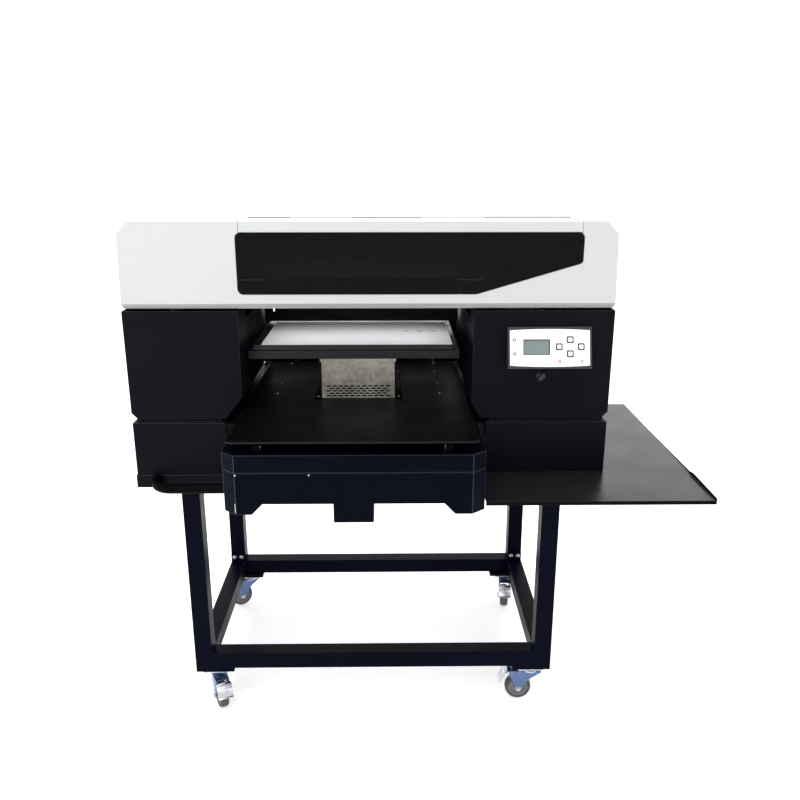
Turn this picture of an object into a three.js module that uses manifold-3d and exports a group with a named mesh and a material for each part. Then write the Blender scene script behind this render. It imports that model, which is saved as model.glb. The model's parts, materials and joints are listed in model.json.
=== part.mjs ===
// Flatbed UV printer on a castered stand. Millimetres, +X to the operator's right, +Y to the rear, +Z up.
// Each sub-part is drawn in machine coordinates: x from the middle of the body, y from the body's front
// plane, z from the floor. The finished machine is then moved so that its origin is under its middle.
import * as THREE from 'three';
import { mergeVertices } from 'three/addons/utils/BufferGeometryUtils.js';
import Module from 'manifold-3d';

const wasm = await Module();
wasm.setup();

// ---------------------------------------------------------------- driving dimensions
const GAP = 0.3;                    // clearance between touching sub-parts

// body
const COVER_HALF = 500;             // half width of the white cover
const HOUSING_HALF = 501;           // half width of the black housings
const PAN_HALF = 503;               // half width of the base pan
const BASE_DEPTH = 545;             // pan and lower housings
const UPPER_DEPTH = 430;            // upper housings and cover
const SHEET = 2;                    // sheet metal thickness
const COVER_SHEET = 3;

// levels above the floor
const FOOT_LOW = 92;                // underside of the stand's foot plates
const TUBE_LOW = 102;               // underside of the stand's bottom rails
const PAN_LOW = 588;
const PAN_TOP = 616.7;
const SHELF_TOP = 620;
const LOWER_TOP = 733;              // top of the lower housings
const REAR_PANEL_TOP = 850;         // just under the bed's path
const UPPER_LOW = 743;              // bottom of the upper housings
const UPPER_TOP = 971;
const COVER_LOW = 975;
const COVER_BEVEL_TOP = 986;
const COVER_TOP = 1148;

// opening between the upper housings, and the wider one between the lower housings
const UPPER_LEFT_INNER = -267;
const UPPER_RIGHT_INNER = 213;
const LOWER_LEFT_INNER = -306;
const LOWER_RIGHT_INNER = 243;

// stand
const TUBE = 40;
const TUBE_WALL = 2;
const STAND_HALF = 423;
const STAND_FRONT = 44;
const STAND_BACK = 544;
const TOP_RAIL_HEIGHT = 27;
const FOOT_WIDTH = 90;
const FOOT_DEPTH = 50;
const RAIL_TAB_HEIGHT = 26;

// casters
const CASTER_X = 378;
const CASTER_INSET = 25;            // swivel axis behind the stand's outer face
const WHEEL_RADIUS = 31.5;
const WHEEL_WIDTH = 22;
const TRAIL = 27;                   // wheel axle beside the swivel axis
const AXLE_RADIUS = 4;
const FORK_INNER = 13.2;
const FORK_OUTER = 15.7;
const FORK_BACK = 26;               // how far the fork reaches behind the swivel axis
const HUB_CAP = 11.7;               // radius of the cheek's end around the axle
const PEDAL_PIVOT = [46, 70];       // brake pedal's pivot: beside the swivel axis, above the floor
const PLATE_HALF = [32, 25];        // half size of a caster's mounting plate
const CASTER_YAWS = { front_left: -65, front_right: 180, rear_left: -150, rear_right: -95 };

// shelf and handle
const SHELF_RIGHT = 686.5;
const SHELF_LEFT = 230;
const SHELF_FRONT = -158;
const SHELF_BACK = 496;
const SHELF_SHEET = 3;
const HANDLE_RADIUS = 10.5;
const HANDLE_Y = -52;
const HANDLE_Z = 606;
const HANDLE_LEFT = -456;

// front box
const BOX_LEFT = -281;
const BOX_RIGHT = 226;
const BOX_FRONT = -190;
const BOX_CHAMFER_X = 26;
const BOX_CHAMFER_Y = 22;
const BOX_LOW = 631;
const BOX_FOOT_LOW = 609;
const BOX_SEAM = 695;
const LID_TOP = 731;

// Y table
const TABLE_MIDDLE = -29.5;
const RAIL_OFFSET = 183.5;
const RAIL_WIDTH = 15;
const RAIL_HEIGHT = 12;
const DECK_TOP = 757;
const DECK_SHEET = 3;
const DECK_LEFT = -270.5;
const DECK_RIGHT = 211.5;
const DECK_BACK = 440;
const DECK_CORNER = 14;
const LIFT_LEFT = -109;
const LIFT_RIGHT = 52;
const LIFT_FRONT = 100;
const LIFT_BACK = 330;
const LIFT_TOP = 841;
const LIFT_FLANGE_TOP = 848.5;

// bed
const BED_LEFT = -263;
const BED_RIGHT = 191.5;
const BED_FRONT = 70;
const BED_BACK = 492;
const BED_LOW = 854;
const BED_TOP = 871.5;
const PLATEN_LEFT = -251.5;
const PLATEN_RIGHT = 177;
const PLATEN_INSET_Y = 6;
const PLATEN_TOP = 883.5;
const MAT_MARGIN = 17;              // bare strip of platen at the left of the mat
const MAT_THICKNESS = 1.5;
const MAST_SIDE = 60;
const MAST_LOW = 768;

// window and its flap
const WINDOW_LEFT = -263;
const WINDOW_RIGHT = 428;
const WINDOW_LOW = 1005;
const WINDOW_TOP = 1127;
const WINDOW_CORNER = 12;
const WINDOW_STEP_Z = 1066;         // where the cut lower right corner starts
const WINDOW_STEP_X = 217;          // where it reaches the lower edge
const PANE_THICKNESS = 3;
const FLAP_LEFT = -256;
const FLAP_RIGHT = 424;
const FLAP_BACK = 112;

// control panel, in its own leaning plane: u to the right, v up the face, n out of it
const PANEL_LEFT = 282;
const PANEL_RIGHT = 453;
const PANEL_LOW = 857;
const PANEL_HIGH = 938;
const PANEL_LOW_PROUD = 32;         // how far the lower edge stands out of the housing
const PANEL_HIGH_PROUD = 6;
const FACE_HALF_U = 81.5;
const FACE_HALF_V = 36;
const FACE_BOW = 2.6;               // how far the face's long edges bow outward
const FACE_THICKNESS = 2;
const LCD_CENTRE = [-27, 1.7];
const LCD_HALF = [27, 15.6];
const KEY_CENTRE = [41.3, 2.3];
const KEY_PITCH = [22.4, 14.4];
const KEY_HALF = 6.7;
const KEY_PROUD = 1.2;
const KEY_DEEP = 5;
const POCKET_DEEP = 8;
const KNOB_X = 355;
const KNOB_Z = 834;

// print gantry
const BEAM_FRONT = 265;
const BEAM_BACK = 325;
const BEAM_LOW = 1000;
const BEAM_HIGH = 1075;
const BEAM_HALF = 470;
const PARK_X = 335;                 // middle of the print carriage when parked
const HEAD_LOW = 948;
const NOTCH_LOW = 938;              // lower edge of the housings' notches for the print head

// ---------------------------------------------------------------- geometry helpers
const DEGREE = Math.PI / 180;

function block(x0, x1, y0, y1, z0, z1) {
  const geometry = new THREE.BoxGeometry(x1 - x0, y1 - y0, z1 - z0);
  return geometry.translate((x0 + x1) / 2, (y0 + y1) / 2, (z0 + z1) / 2);
}

function outline(points) {
  return new THREE.Shape(points.map(([u, v]) => new THREE.Vector2(u, v)));
}

function roundedRectangle(u0, u1, v0, v1, radius) {
  const shape = new THREE.Shape();
  shape.absarc(u1 - radius, v0 + radius, radius, -90 * DEGREE, 0, false);
  shape.absarc(u1 - radius, v1 - radius, radius, 0, 90 * DEGREE, false);
  shape.absarc(u0 + radius, v1 - radius, radius, 90 * DEGREE, 180 * DEGREE, false);
  shape.absarc(u0 + radius, v0 + radius, radius, 180 * DEGREE, 270 * DEGREE, false);
  return shape;
}

function extrude(shape, depth, segments) {
  return new THREE.ExtrudeGeometry(shape, { depth, bevelEnabled: false, curveSegments: segments });
}

// plan outline (x, y) raised from z0 to z1
function raised(shape, z0, z1, segments = 4) {
  return extrude(shape, z1 - z0, segments).translate(0, 0, z0);
}

// side outline (y, z) drawn out from x0 to x1
function drawnAcross(shape, x0, x1, segments = 4) {
  const turn = new THREE.Matrix4().makeBasis(
    new THREE.Vector3(0, 1, 0), new THREE.Vector3(0, 0, 1), new THREE.Vector3(1, 0, 0));
  return extrude(shape, x1 - x0, segments).applyMatrix4(turn).translate(x0, 0, 0);
}

// front outline (x, z) drawn out from y0 to y1
function drawnBack(shape, y0, y1, segments = 4) {
  const turn = new THREE.Matrix4().makeBasis(
    new THREE.Vector3(1, 0, 0), new THREE.Vector3(0, 0, 1), new THREE.Vector3(0, -1, 0));
  return extrude(shape, y1 - y0, segments).applyMatrix4(turn).translate(0, y1, 0);
}

function uprightCylinder(radius, z0, z1, sides = 20) {
  return new THREE.CylinderGeometry(radius, radius, z1 - z0, sides)
    .rotateX(90 * DEGREE).translate(0, 0, (z0 + z1) / 2);
}

// cylinder along y
function frontCylinder(radius, y0, y1, sides = 20) {
  return new THREE.CylinderGeometry(radius, radius, y1 - y0, sides).translate(0, (y0 + y1) / 2, 0);
}

function toSolid(geometry) {
  const bare = geometry.clone();
  bare.deleteAttribute('normal');
  bare.deleteAttribute('uv');
  const merged = mergeVertices(bare);
  const vertProperties = new Float32Array(merged.attributes.position.array);
  const triVerts = new Uint32Array(merged.index.array);
  return new wasm.Manifold(new wasm.Mesh({ numProp: 3, vertProperties, triVerts }));
}

function toGeometry(solid) {
  const result = solid.getMesh();
  const geometry = new THREE.BufferGeometry();
  geometry.setAttribute('position', new THREE.BufferAttribute(result.vertProperties, 3));
  geometry.setIndex(new THREE.BufferAttribute(result.triVerts, 1));
  return geometry;
}

function joined(...geometries) {
  return toGeometry(geometries.map(toSolid).reduce((whole, next) => whole.add(next)));
}

function cut(geometry, ...tools) {
  return toGeometry(tools.map(toSolid).reduce((rest, tool) => rest.subtract(tool), toSolid(geometry)));
}

function common(first, second) {
  return toGeometry(toSolid(first).intersect(toSolid(second)));
}

// ---------------------------------------------------------------- materials and assembly
function finish(color, roughness, metalness) {
  return { color, roughness, metalness };
}

const FINISHES = {
  blackPaint: finish(0x14161f, 0.5, 0.1),
  framePaint: finish(0x101420, 0.42, 0.15),
  deckPaint: finish(0x1a1a1d, 0.35, 0.2),
  whitePaint: finish(0xe6e8ea, 0.4, 0.0),
  smokedAcrylic: finish(0x0c0a0c, 0.06, 0.0),
  zinc: finish(0xb9bcc2, 0.35, 0.9),
  galvanised: finish(0x8d887c, 0.45, 0.85),
  greyRubber: finish(0x6c6c70, 0.7, 0.0),
  platenAluminium: finish(0x4a4a50, 0.4, 0.6),
  whiteMat: finish(0xd9d9de, 0.55, 0.0),
  bezelPlastic: finish(0xa7a9ab, 0.4, 0.1),
  panelPlastic: finish(0xf2f3f4, 0.5, 0.0),
  lcdGlass: finish(0x8a9c99, 0.2, 0.0),
  darkPlastic: finish(0x1b1b1e, 0.5, 0.0),
  railSteel: finish(0xa9acb0, 0.25, 0.95),
  tankPlastic: finish(0x2b2b30, 0.4, 0.0),
};

function part(name, geometry, finishName) {
  const mesh = new THREE.Mesh(geometry, new THREE.MeshStandardMaterial(FINISHES[finishName]));
  mesh.name = name;
  return mesh;
}

// ---------------------------------------------------------------- stand
// the legs and cross rails of an end frame; inset by the wall, they are the hollow inside the tubes
function frameTubes(y0, inset) {
  const front = y0 + inset;
  const back = y0 + TUBE - inset;
  const top = PAN_LOW - GAP;
  const reach = STAND_HALF - inset;
  const tubes = [
    block(-reach, reach, front, back, TUBE_LOW + inset, TUBE_LOW + TUBE - inset),
    block(-reach, reach, front, back, top - TOP_RAIL_HEIGHT + inset, top - inset),
  ];
  for (const x of [-STAND_HALF, STAND_HALF - TUBE]) {
    tubes.push(block(x + inset, x + TUBE - inset, front, back, TUBE_LOW + inset, top + inset));
  }
  return joined(...tubes);
}

// an end frame: two legs open at the top, a bottom rail, a thinner top rail and two foot plates
function endFrame(y0, footY0) {
  const feet = [-STAND_HALF, STAND_HALF - FOOT_WIDTH].map(
    (x) => block(x, x + FOOT_WIDTH, footY0, footY0 + FOOT_DEPTH, FOOT_LOW, TUBE_LOW));
  return cut(joined(frameTubes(y0, 0), ...feet), frameTubes(y0, TUBE_WALL));
}

function sideRail(side) {
  const x0 = Math.min(side * STAND_HALF, side * (STAND_HALF - TUBE));
  const x1 = x0 + TUBE;
  const y0 = STAND_FRONT + TUBE + GAP;
  const y1 = STAND_BACK - TUBE - GAP;
  const low = TUBE_LOW + GAP;
  const top = TUBE_LOW + TUBE;
  const tube = joined(
    block(x0, x1, y0, y1, low, top),
    block(x0, x1, y0, y0 + 4, top, top + RAIL_TAB_HEIGHT),
    block(x0, x1, y1 - 4, y1, top, top + RAIL_TAB_HEIGHT),
  );
  const wall = TUBE_WALL;
  return cut(tube, block(x0 + wall, x1 - wall, y0 - 1, y1 + 1, low + wall, top - wall));
}

function basePan() {
  const front = -2;
  const tray = block(-PAN_HALF, PAN_HALF, front, BASE_DEPTH + 2, PAN_LOW, PAN_TOP);
  const hollow = block(-PAN_HALF + SHEET, PAN_HALF - SHEET, front + SHEET, BASE_DEPTH,
    PAN_LOW + SHEET, PAN_TOP + 1);
  return cut(tray, hollow);
}

// flat shelf with a turned-down front lip and a low upstand on its right edge
function sideShelf() {
  const low = SHELF_TOP - SHELF_SHEET;
  const plate = block(SHELF_LEFT, SHELF_RIGHT, SHELF_FRONT, SHELF_BACK, low, SHELF_TOP);
  const lip = block(SHELF_LEFT, SHELF_RIGHT, SHELF_FRONT, SHELF_FRONT + SHEET, low - 5.5, SHELF_TOP);
  const upstand = drawnAcross(outline([
    [SHELF_FRONT, low], [10, low], [10, SHELF_TOP], [-29, SHELF_TOP + 7], [SHELF_FRONT, SHELF_TOP + 5],
  ]), SHELF_RIGHT - SHEET, SHELF_RIGHT);
  return joined(plate, lip, upstand);
}

// round push handle: out of the pan, round a bend, and across to the front box
function pushHandle() {
  const bend = 40;
  const start = new THREE.Vector3(HANDLE_LEFT, -2 - GAP, HANDLE_Z);
  const bendStart = new THREE.Vector3(HANDLE_LEFT, HANDLE_Y + bend, HANDLE_Z);
  const corner = new THREE.Vector3(HANDLE_LEFT, HANDLE_Y, HANDLE_Z);
  const bendEnd = new THREE.Vector3(HANDLE_LEFT + bend, HANDLE_Y, HANDLE_Z);
  const end = new THREE.Vector3(BOX_LEFT - GAP, HANDLE_Y, HANDLE_Z);
  const path = new THREE.CurvePath();
  path.add(new THREE.LineCurve3(start, bendStart));
  path.add(new THREE.QuadraticBezierCurve3(bendStart, corner, bendEnd));
  path.add(new THREE.LineCurve3(bendEnd, end));
  const section = new THREE.Shape().absarc(0, 0, HANDLE_RADIUS, 0, 360 * DEGREE, false);
  const tube = new THREE.ExtrudeGeometry(section, { steps: 24, curveSegments: 12, extrudePath: path });
  const flange = frontCylinder(15, -5, -2 - GAP).translate(HANDLE_LEFT, 0, HANDLE_Z);
  const endFlange = frontCylinder(15, 0, 3).rotateZ(90 * DEGREE)
    .translate(BOX_LEFT - GAP, HANDLE_Y, HANDLE_Z);
  return joined(tube, flange, endFlange);
}

// ---------------------------------------------------------------- casters
// Each caster is drawn with its swivel axis at x = y = 0 and its wheel trailing to +x.
function casterPlate() {
  const [halfX, halfY] = PLATE_HALF;
  return joined(block(-halfX, halfX, -halfY, halfY, 89, FOOT_LOW - GAP), uprightCylinder(16, 82.5, 90));
}

function casterFork() {
  const top = 82.2;
  const cheek = new THREE.Shape();
  cheek.moveTo(-FORK_BACK, top);
  cheek.lineTo(-FORK_BACK, 73);
  cheek.lineTo(-7, 47);
  cheek.lineTo(TRAIL - HUB_CAP, 29);
  cheek.absarc(TRAIL, WHEEL_RADIUS, HUB_CAP, 190 * DEGREE, 350 * DEGREE, false);
  cheek.lineTo(TRAIL + HUB_CAP, 50);
  cheek.lineTo(PEDAL_PIVOT[0] + 6, 63);
  cheek.lineTo(PEDAL_PIVOT[0] + 6, 78);
  cheek.lineTo(PEDAL_PIVOT[0], top);
  const cheeks = [-FORK_OUTER, FORK_INNER].map(
    (y) => drawnBack(cheek, y, y + FORK_OUTER - FORK_INNER, 8));
  const bridge = block(-FORK_BACK, TRAIL, -FORK_OUTER, FORK_OUTER, top - 3, top);
  const axle = frontCylinder(AXLE_RADIUS, -FORK_OUTER, FORK_OUTER, 12).translate(TRAIL, 0, WHEEL_RADIUS);
  return joined(bridge, ...cheeks, axle);
}

// tread, side walls and hub turned as one ring around the axle
function casterWheel() {
  const half = WHEEL_WIDTH / 2;
  const bore = AXLE_RADIUS + 0.8;
  const profile = [
    [bore, -half], [11, -half], [13, -half + 3], [21, -half + 3], [23, -half + 0.5],
    [WHEEL_RADIUS - 2.5, -half + 0.5], [WHEEL_RADIUS, -half + 3.5],
    [WHEEL_RADIUS, half - 3.5], [WHEEL_RADIUS - 2.5, half - 0.5],
    [23, half - 0.5], [21, half - 3], [13, half - 3], [11, half], [bore, half], [bore, -half],
  ];
  return new THREE.LatheGeometry(profile.map(([r, y]) => new THREE.Vector2(r, y)), 24);
}

// bent tread plate of the wheel brake, pivoting between the fork's cheeks; drawn from its pivot
function brakePedal() {
  const root = drawnBack(outline([[-4, -2.5], [10, 1], [10, 7], [4, 6], [-4, 2]]), -12, 12);
  const tread = drawnBack(outline([
    [8, 1.5], [13, 1], [26.5, -20], [30, -21.5], [30.5, -19.5], [28, -18], [15, 7], [8, 8.5],
  ]), -17.5, 17.5);
  const pin = frontCylinder(2.2, -FORK_INNER + GAP, FORK_INNER - GAP, 10);
  return joined(root, tread, pin);
}

function caster(corner, x, y) {
  const whole = new THREE.Group();
  whole.position.set(x, y, 0);
  const swivel = new THREE.Group();
  swivel.rotation.z = CASTER_YAWS[corner] * DEGREE;
  const wheel = part(`caster_wheel_${corner}`, casterWheel(), 'greyRubber');
  wheel.position.set(TRAIL, 0, WHEEL_RADIUS);
  const pedal = part(`brake_pedal_${corner}`, brakePedal(), 'zinc');
  pedal.position.set(PEDAL_PIVOT[0], 0, PEDAL_PIVOT[1]);
  swivel.add(part(`caster_fork_${corner}`, casterFork(), 'zinc'), wheel, pedal);
  whole.add(part(`caster_plate_${corner}`, casterPlate(), 'zinc'), swivel);
  return whole;
}

function casters() {
  const group = new THREE.Group();
  for (const [end, y] of [['front', STAND_FRONT + CASTER_INSET], ['rear', STAND_BACK - CASTER_INSET]]) {
    group.add(caster(`${end}_left`, -CASTER_X, y), caster(`${end}_right`, CASTER_X, y));
  }
  return group;
}

function stand() {
  const group = new THREE.Group();
  group.add(
    part('front_frame', endFrame(STAND_FRONT, STAND_FRONT), 'framePaint'),
    part('rear_frame', endFrame(STAND_BACK - TUBE, STAND_BACK - FOOT_DEPTH), 'framePaint'),
    part('side_rail_left', sideRail(-1), 'framePaint'),
    part('side_rail_right', sideRail(1), 'framePaint'),
    part('base_pan', basePan(), 'blackPaint'),
    part('side_shelf', sideShelf(), 'deckPaint'),
    part('push_handle', pushHandle(), 'deckPaint'),
    casters(),
  );
  return group;
}

// ---------------------------------------------------------------- housings
// lower housing: sheet box open underneath, with a set-back plinth that carries the upper housing
function baseHousing(x0, x1, z0) {
  const inset = 8;
  const shell = block(x0, x1, 0, BASE_DEPTH, z0, LOWER_TOP);
  const plinth = block(x0 + inset, x1 - inset, inset, UPPER_DEPTH - inset,
    LOWER_TOP - 1, UPPER_LOW - GAP);
  const hollow = block(x0 + SHEET, x1 - SHEET, SHEET, BASE_DEPTH - SHEET, z0 - 1, LOWER_TOP - SHEET);
  return cut(joined(shell, plinth), hollow);
}

// front outline of an upper housing; the inner lower corner is cut away to clear the moving deck
function upperHousing(outer, inner, cutX, cutZ) {
  const side = Math.sign(outer);
  const wall = side * SHEET;
  const shell = drawnBack(outline([
    [outer, UPPER_LOW + 12], [outer - side * 12, UPPER_LOW], [inner + side * cutX, UPPER_LOW],
    [inner, UPPER_LOW + cutZ], [inner, UPPER_TOP], [outer, UPPER_TOP],
  ]), 0, UPPER_DEPTH);
  const hollow = drawnBack(outline([
    [outer - wall, UPPER_LOW - 5], [inner + side * cutX + wall, UPPER_LOW - 5],
    [inner + side * cutX + wall, UPPER_LOW + 1], [inner + wall, UPPER_LOW + cutZ + 1],
    [inner + wall, UPPER_TOP + 5], [outer - wall, UPPER_TOP + 5],
  ]), SHEET, UPPER_DEPTH - SHEET);
  const notchOuter = inner + side * 20;
  const notchInner = inner - side * 20;
  const notch = block(Math.min(notchOuter, notchInner), Math.max(notchOuter, notchInner),
    BEAM_FRONT - 175, BEAM_FRONT + 5, NOTCH_LOW, UPPER_TOP + 5);
  return cut(shell, hollow, notch);
}

function boxPlan(inset) {
  const left = BOX_LEFT + inset;
  const right = BOX_RIGHT - inset;
  const front = BOX_FRONT + inset;
  return outline([
    [left, -2 - GAP], [left, front + BOX_CHAMFER_Y], [left + BOX_CHAMFER_X, front],
    [right - BOX_CHAMFER_X, front], [right, front + BOX_CHAMFER_Y], [right, -2 - GAP],
  ]);
}

// The front box covers the drive end of the Y rails: a tray open to the rear, two side feet and a
// motor cover hanging from the middle.
function frontBox() {
  const footSlope = 21;
  const feetAndTray = drawnBack(outline([
    [BOX_LEFT, BOX_FOOT_LOW], [BOX_LEFT + 56, BOX_FOOT_LOW], [BOX_LEFT + 56 + footSlope, BOX_LOW],
    [BOX_RIGHT - 59 - footSlope, BOX_LOW], [BOX_RIGHT - 59, BOX_FOOT_LOW], [BOX_RIGHT, BOX_FOOT_LOW],
    [BOX_RIGHT, BOX_SEAM], [BOX_LEFT, BOX_SEAM],
  ]), BOX_FRONT, -2 - GAP);
  const tray = common(feetAndTray, raised(boxPlan(0), BOX_FOOT_LOW, BOX_SEAM));
  const hollow = raised(boxPlan(SHEET), BOX_LOW + SHEET, BOX_SEAM + 1);
  const rearDoor = block(BOX_LEFT + SHEET, BOX_RIGHT - SHEET, -10, 1, BOX_LOW + SHEET, BOX_SEAM + 1);
  const motorCover = drawnBack(roundedRectangle(-68, 10, BOX_LOW - 39, BOX_LOW + 5, 3),
    BOX_FRONT, BOX_FRONT + 60);
  return cut(joined(tray, motorCover), hollow, rearDoor);
}

function frontBoxLid() {
  const hollow = raised(boxPlan(SHEET), BOX_SEAM - 1, LID_TOP - SHEET);
  const rearDoor = block(BOX_LEFT + SHEET, BOX_RIGHT - SHEET, -10, 1, BOX_SEAM - 1, LID_TOP - SHEET);
  return cut(raised(boxPlan(0), BOX_SEAM + GAP, LID_TOP), hollow, rearDoor);
}

// channel between the lower housings that carries the Y rails
function railBed() {
  const x0 = LOWER_LEFT_INNER + 2;
  const x1 = LOWER_RIGHT_INNER - 2;
  const low = LID_TOP - 30;
  const channel = block(x0, x1, GAP, BASE_DEPTH, low, LID_TOP);
  return cut(channel, block(x0 + 3, x1 - 3, -1, BASE_DEPTH + 1, low - 1, LID_TOP - 3));
}

// ---------------------------------------------------------------- cover and flap
function coverFront(inset) {
  const low = COVER_LOW - (inset > 0 ? 5 : 0);
  const waist = COVER_HALF - inset;
  return outline([
    [-waist + 2.5, low], [-waist, COVER_BEVEL_TOP], [-waist + 3.5, 1124 - inset],
    [-474 + inset / 2, COVER_TOP - inset], [474 - inset / 2, COVER_TOP - inset],
    [waist - 3.5, 1124 - inset], [waist, COVER_BEVEL_TOP], [waist - 2.5, low],
  ]);
}

function coverSide(inset) {
  const low = COVER_LOW - (inset > 0 ? 5 : 0);
  return outline([
    [8 + inset, low], [inset, COVER_BEVEL_TOP], [inset, COVER_TOP - inset], [308, COVER_TOP - inset],
    [UPPER_DEPTH - inset, 1068 - inset], [UPPER_DEPTH - inset, low],
  ]);
}

function coverForm(inset) {
  return common(
    drawnBack(coverFront(inset), inset, UPPER_DEPTH - inset),
    drawnAcross(coverSide(inset), -COVER_HALF + inset, COVER_HALF - inset));
}

// window outline: rounded corners, with the lower right corner cut off at a slant
function windowOutline(margin) {
  const left = WINDOW_LEFT - margin;
  const right = WINDOW_RIGHT + margin;
  const low = WINDOW_LOW - margin;
  const top = WINDOW_TOP + margin;
  const radius = WINDOW_CORNER;
  const shape = new THREE.Shape();
  shape.moveTo(WINDOW_STEP_X + margin / 2, low);
  shape.lineTo(right - 4, WINDOW_STEP_Z - margin);
  shape.lineTo(right, WINDOW_STEP_Z + 4);
  shape.absarc(right - radius, top - radius, radius, 0, 90 * DEGREE, false);
  shape.absarc(left + radius, top - radius, radius, 90 * DEGREE, 180 * DEGREE, false);
  shape.absarc(left + radius, low + radius, radius, 180 * DEGREE, 270 * DEGREE, false);
  return shape;
}

function topCover() {
  const edge = 0.8;
  const windowHole = drawnBack(windowOutline(edge), -5, 10);
  const flapHole = block(FLAP_LEFT - edge, FLAP_RIGHT + edge, -5, FLAP_BACK,
    WINDOW_TOP - 1, COVER_TOP + 5);
  return cut(coverForm(0), coverForm(COVER_SHEET), windowHole, flapHole);
}

// strip of the cover above the window, with a clamping bar behind the pane
function flapStrip() {
  const topPlate = block(FLAP_LEFT, FLAP_RIGHT, 0, FLAP_BACK - 0.6, COVER_TOP - COVER_SHEET, COVER_TOP);
  const frontBand = block(FLAP_LEFT, FLAP_RIGHT, 0, COVER_SHEET, WINDOW_TOP + 0.5, COVER_TOP);
  const clampBar = block(FLAP_LEFT + 12, FLAP_RIGHT - 12, COVER_SHEET - 0.8, COVER_SHEET + 2.2,
    WINDOW_TOP - 16, COVER_TOP - 1);
  return joined(topPlate, frontBand, clampBar);
}

function windowPane() {
  const front = -1.2;
  return drawnBack(windowOutline(0), front, front + PANE_THICKNESS);
}

// ---------------------------------------------------------------- control panel
const PANEL_LEAN = Math.atan2(PANEL_LOW_PROUD - PANEL_HIGH_PROUD, PANEL_HIGH - PANEL_LOW);
const PANEL_MIDDLE = new THREE.Vector3(
  (PANEL_LEFT + PANEL_RIGHT) / 2,
  -(PANEL_LOW_PROUD + PANEL_HIGH_PROUD) / 2,
  (PANEL_LOW + PANEL_HIGH) / 2);

function ontoPanel(geometry) {
  return geometry.rotateX(-PANEL_LEAN).translate(...PANEL_MIDDLE);
}

// The face's long edges bow outward. Its depth runs from n0 to n1, and n points out of the face.
function facePlate(margin, n0, n1) {
  const u = FACE_HALF_U + margin;
  const v = FACE_HALF_V + margin;
  const shape = new THREE.Shape();
  shape.moveTo(-u, -v);
  shape.quadraticCurveTo(0, -v - 2 * FACE_BOW, u, -v);
  shape.lineTo(u, v);
  shape.quadraticCurveTo(0, v + 2 * FACE_BOW, -u, v);
  return drawnBack(shape, -n1, -n0, 8);
}

function keyCentres() {
  const [u, v] = KEY_CENTRE;
  const [du, dv] = KEY_PITCH;
  return { key_up: [u, v + dv], key_down: [u, v - dv], key_left: [u - du, v], key_right: [u + du, v] };
}

function keyCap(u, v, margin, n0, n1) {
  const half = KEY_HALF + margin;
  return drawnBack(roundedRectangle(u - half, u + half, v - half, v + half, 2.4), -n1, -n0, 3);
}

function lcdBlock(margin, n0, n1) {
  const [u, v] = LCD_CENTRE;
  const [halfU, halfV] = LCD_HALF;
  return block(u - halfU - margin, u + halfU + margin, -n1, -n0, v - halfV - margin, v + halfV + margin);
}

function panelBezel() {
  const wedge = drawnAcross(outline([
    [-GAP, PANEL_LOW], [-PANEL_LOW_PROUD, PANEL_LOW], [-PANEL_HIGH_PROUD, PANEL_HIGH], [-GAP, PANEL_HIGH],
  ]), PANEL_LEFT, PANEL_RIGHT);
  const seat = ontoPanel(facePlate(GAP, -FACE_THICKNESS - GAP, 5));
  const pocket = ontoPanel(block(-60, 74, 2, POCKET_DEEP, -23, 27));
  return cut(wedge, seat, pocket);
}

function panelFace() {
  const holes = Object.values(keyCentres()).map(([u, v]) => keyCap(u, v, 0.5, -5, 5));
  return ontoPanel(cut(facePlate(0, -FACE_THICKNESS, 0), lcdBlock(0.4, -5, 5), ...holes));
}

// knob with a slanting wing that locks the housing's front
function turnKnob() {
  const base = frontCylinder(10, -5, -GAP);
  const wing = block(-8, 8, -12, -4, -2.6, 2.6).rotateY(-50 * DEGREE);
  return joined(base, wing);
}

function controlPanel() {
  const group = new THREE.Group();
  group.add(
    part('panel_bezel', panelBezel(), 'bezelPlastic'),
    part('panel_face', panelFace(), 'panelPlastic'),
    part('lcd_screen', ontoPanel(lcdBlock(0, -POCKET_DEEP + 0.4, -0.8)), 'lcdGlass'),
  );
  for (const [name, [u, v]] of Object.entries(keyCentres())) {
    group.add(part(name, ontoPanel(keyCap(u, v, 0, -KEY_DEEP, KEY_PROUD)), 'panelPlastic'));
  }
  const knob = part('turn_knob', turnKnob(), 'darkPlastic');
  knob.position.set(KNOB_X, 0, KNOB_Z);
  group.add(knob);
  return group;
}

// sheet across the rear, between the housings and under the bed, with its top edge folded back
function rearPanel() {
  const x0 = LOWER_LEFT_INNER + GAP;
  const x1 = LOWER_RIGHT_INNER - GAP;
  const back = BASE_DEPTH - 1;
  const wall = block(x0, x1, back - SHEET, back, LID_TOP + GAP, REAR_PANEL_TOP);
  const fold = block(x0, x1, back - 0.5, back + 2.5, REAR_PANEL_TOP - SHEET, REAR_PANEL_TOP);
  return joined(wall, fold);
}

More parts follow.
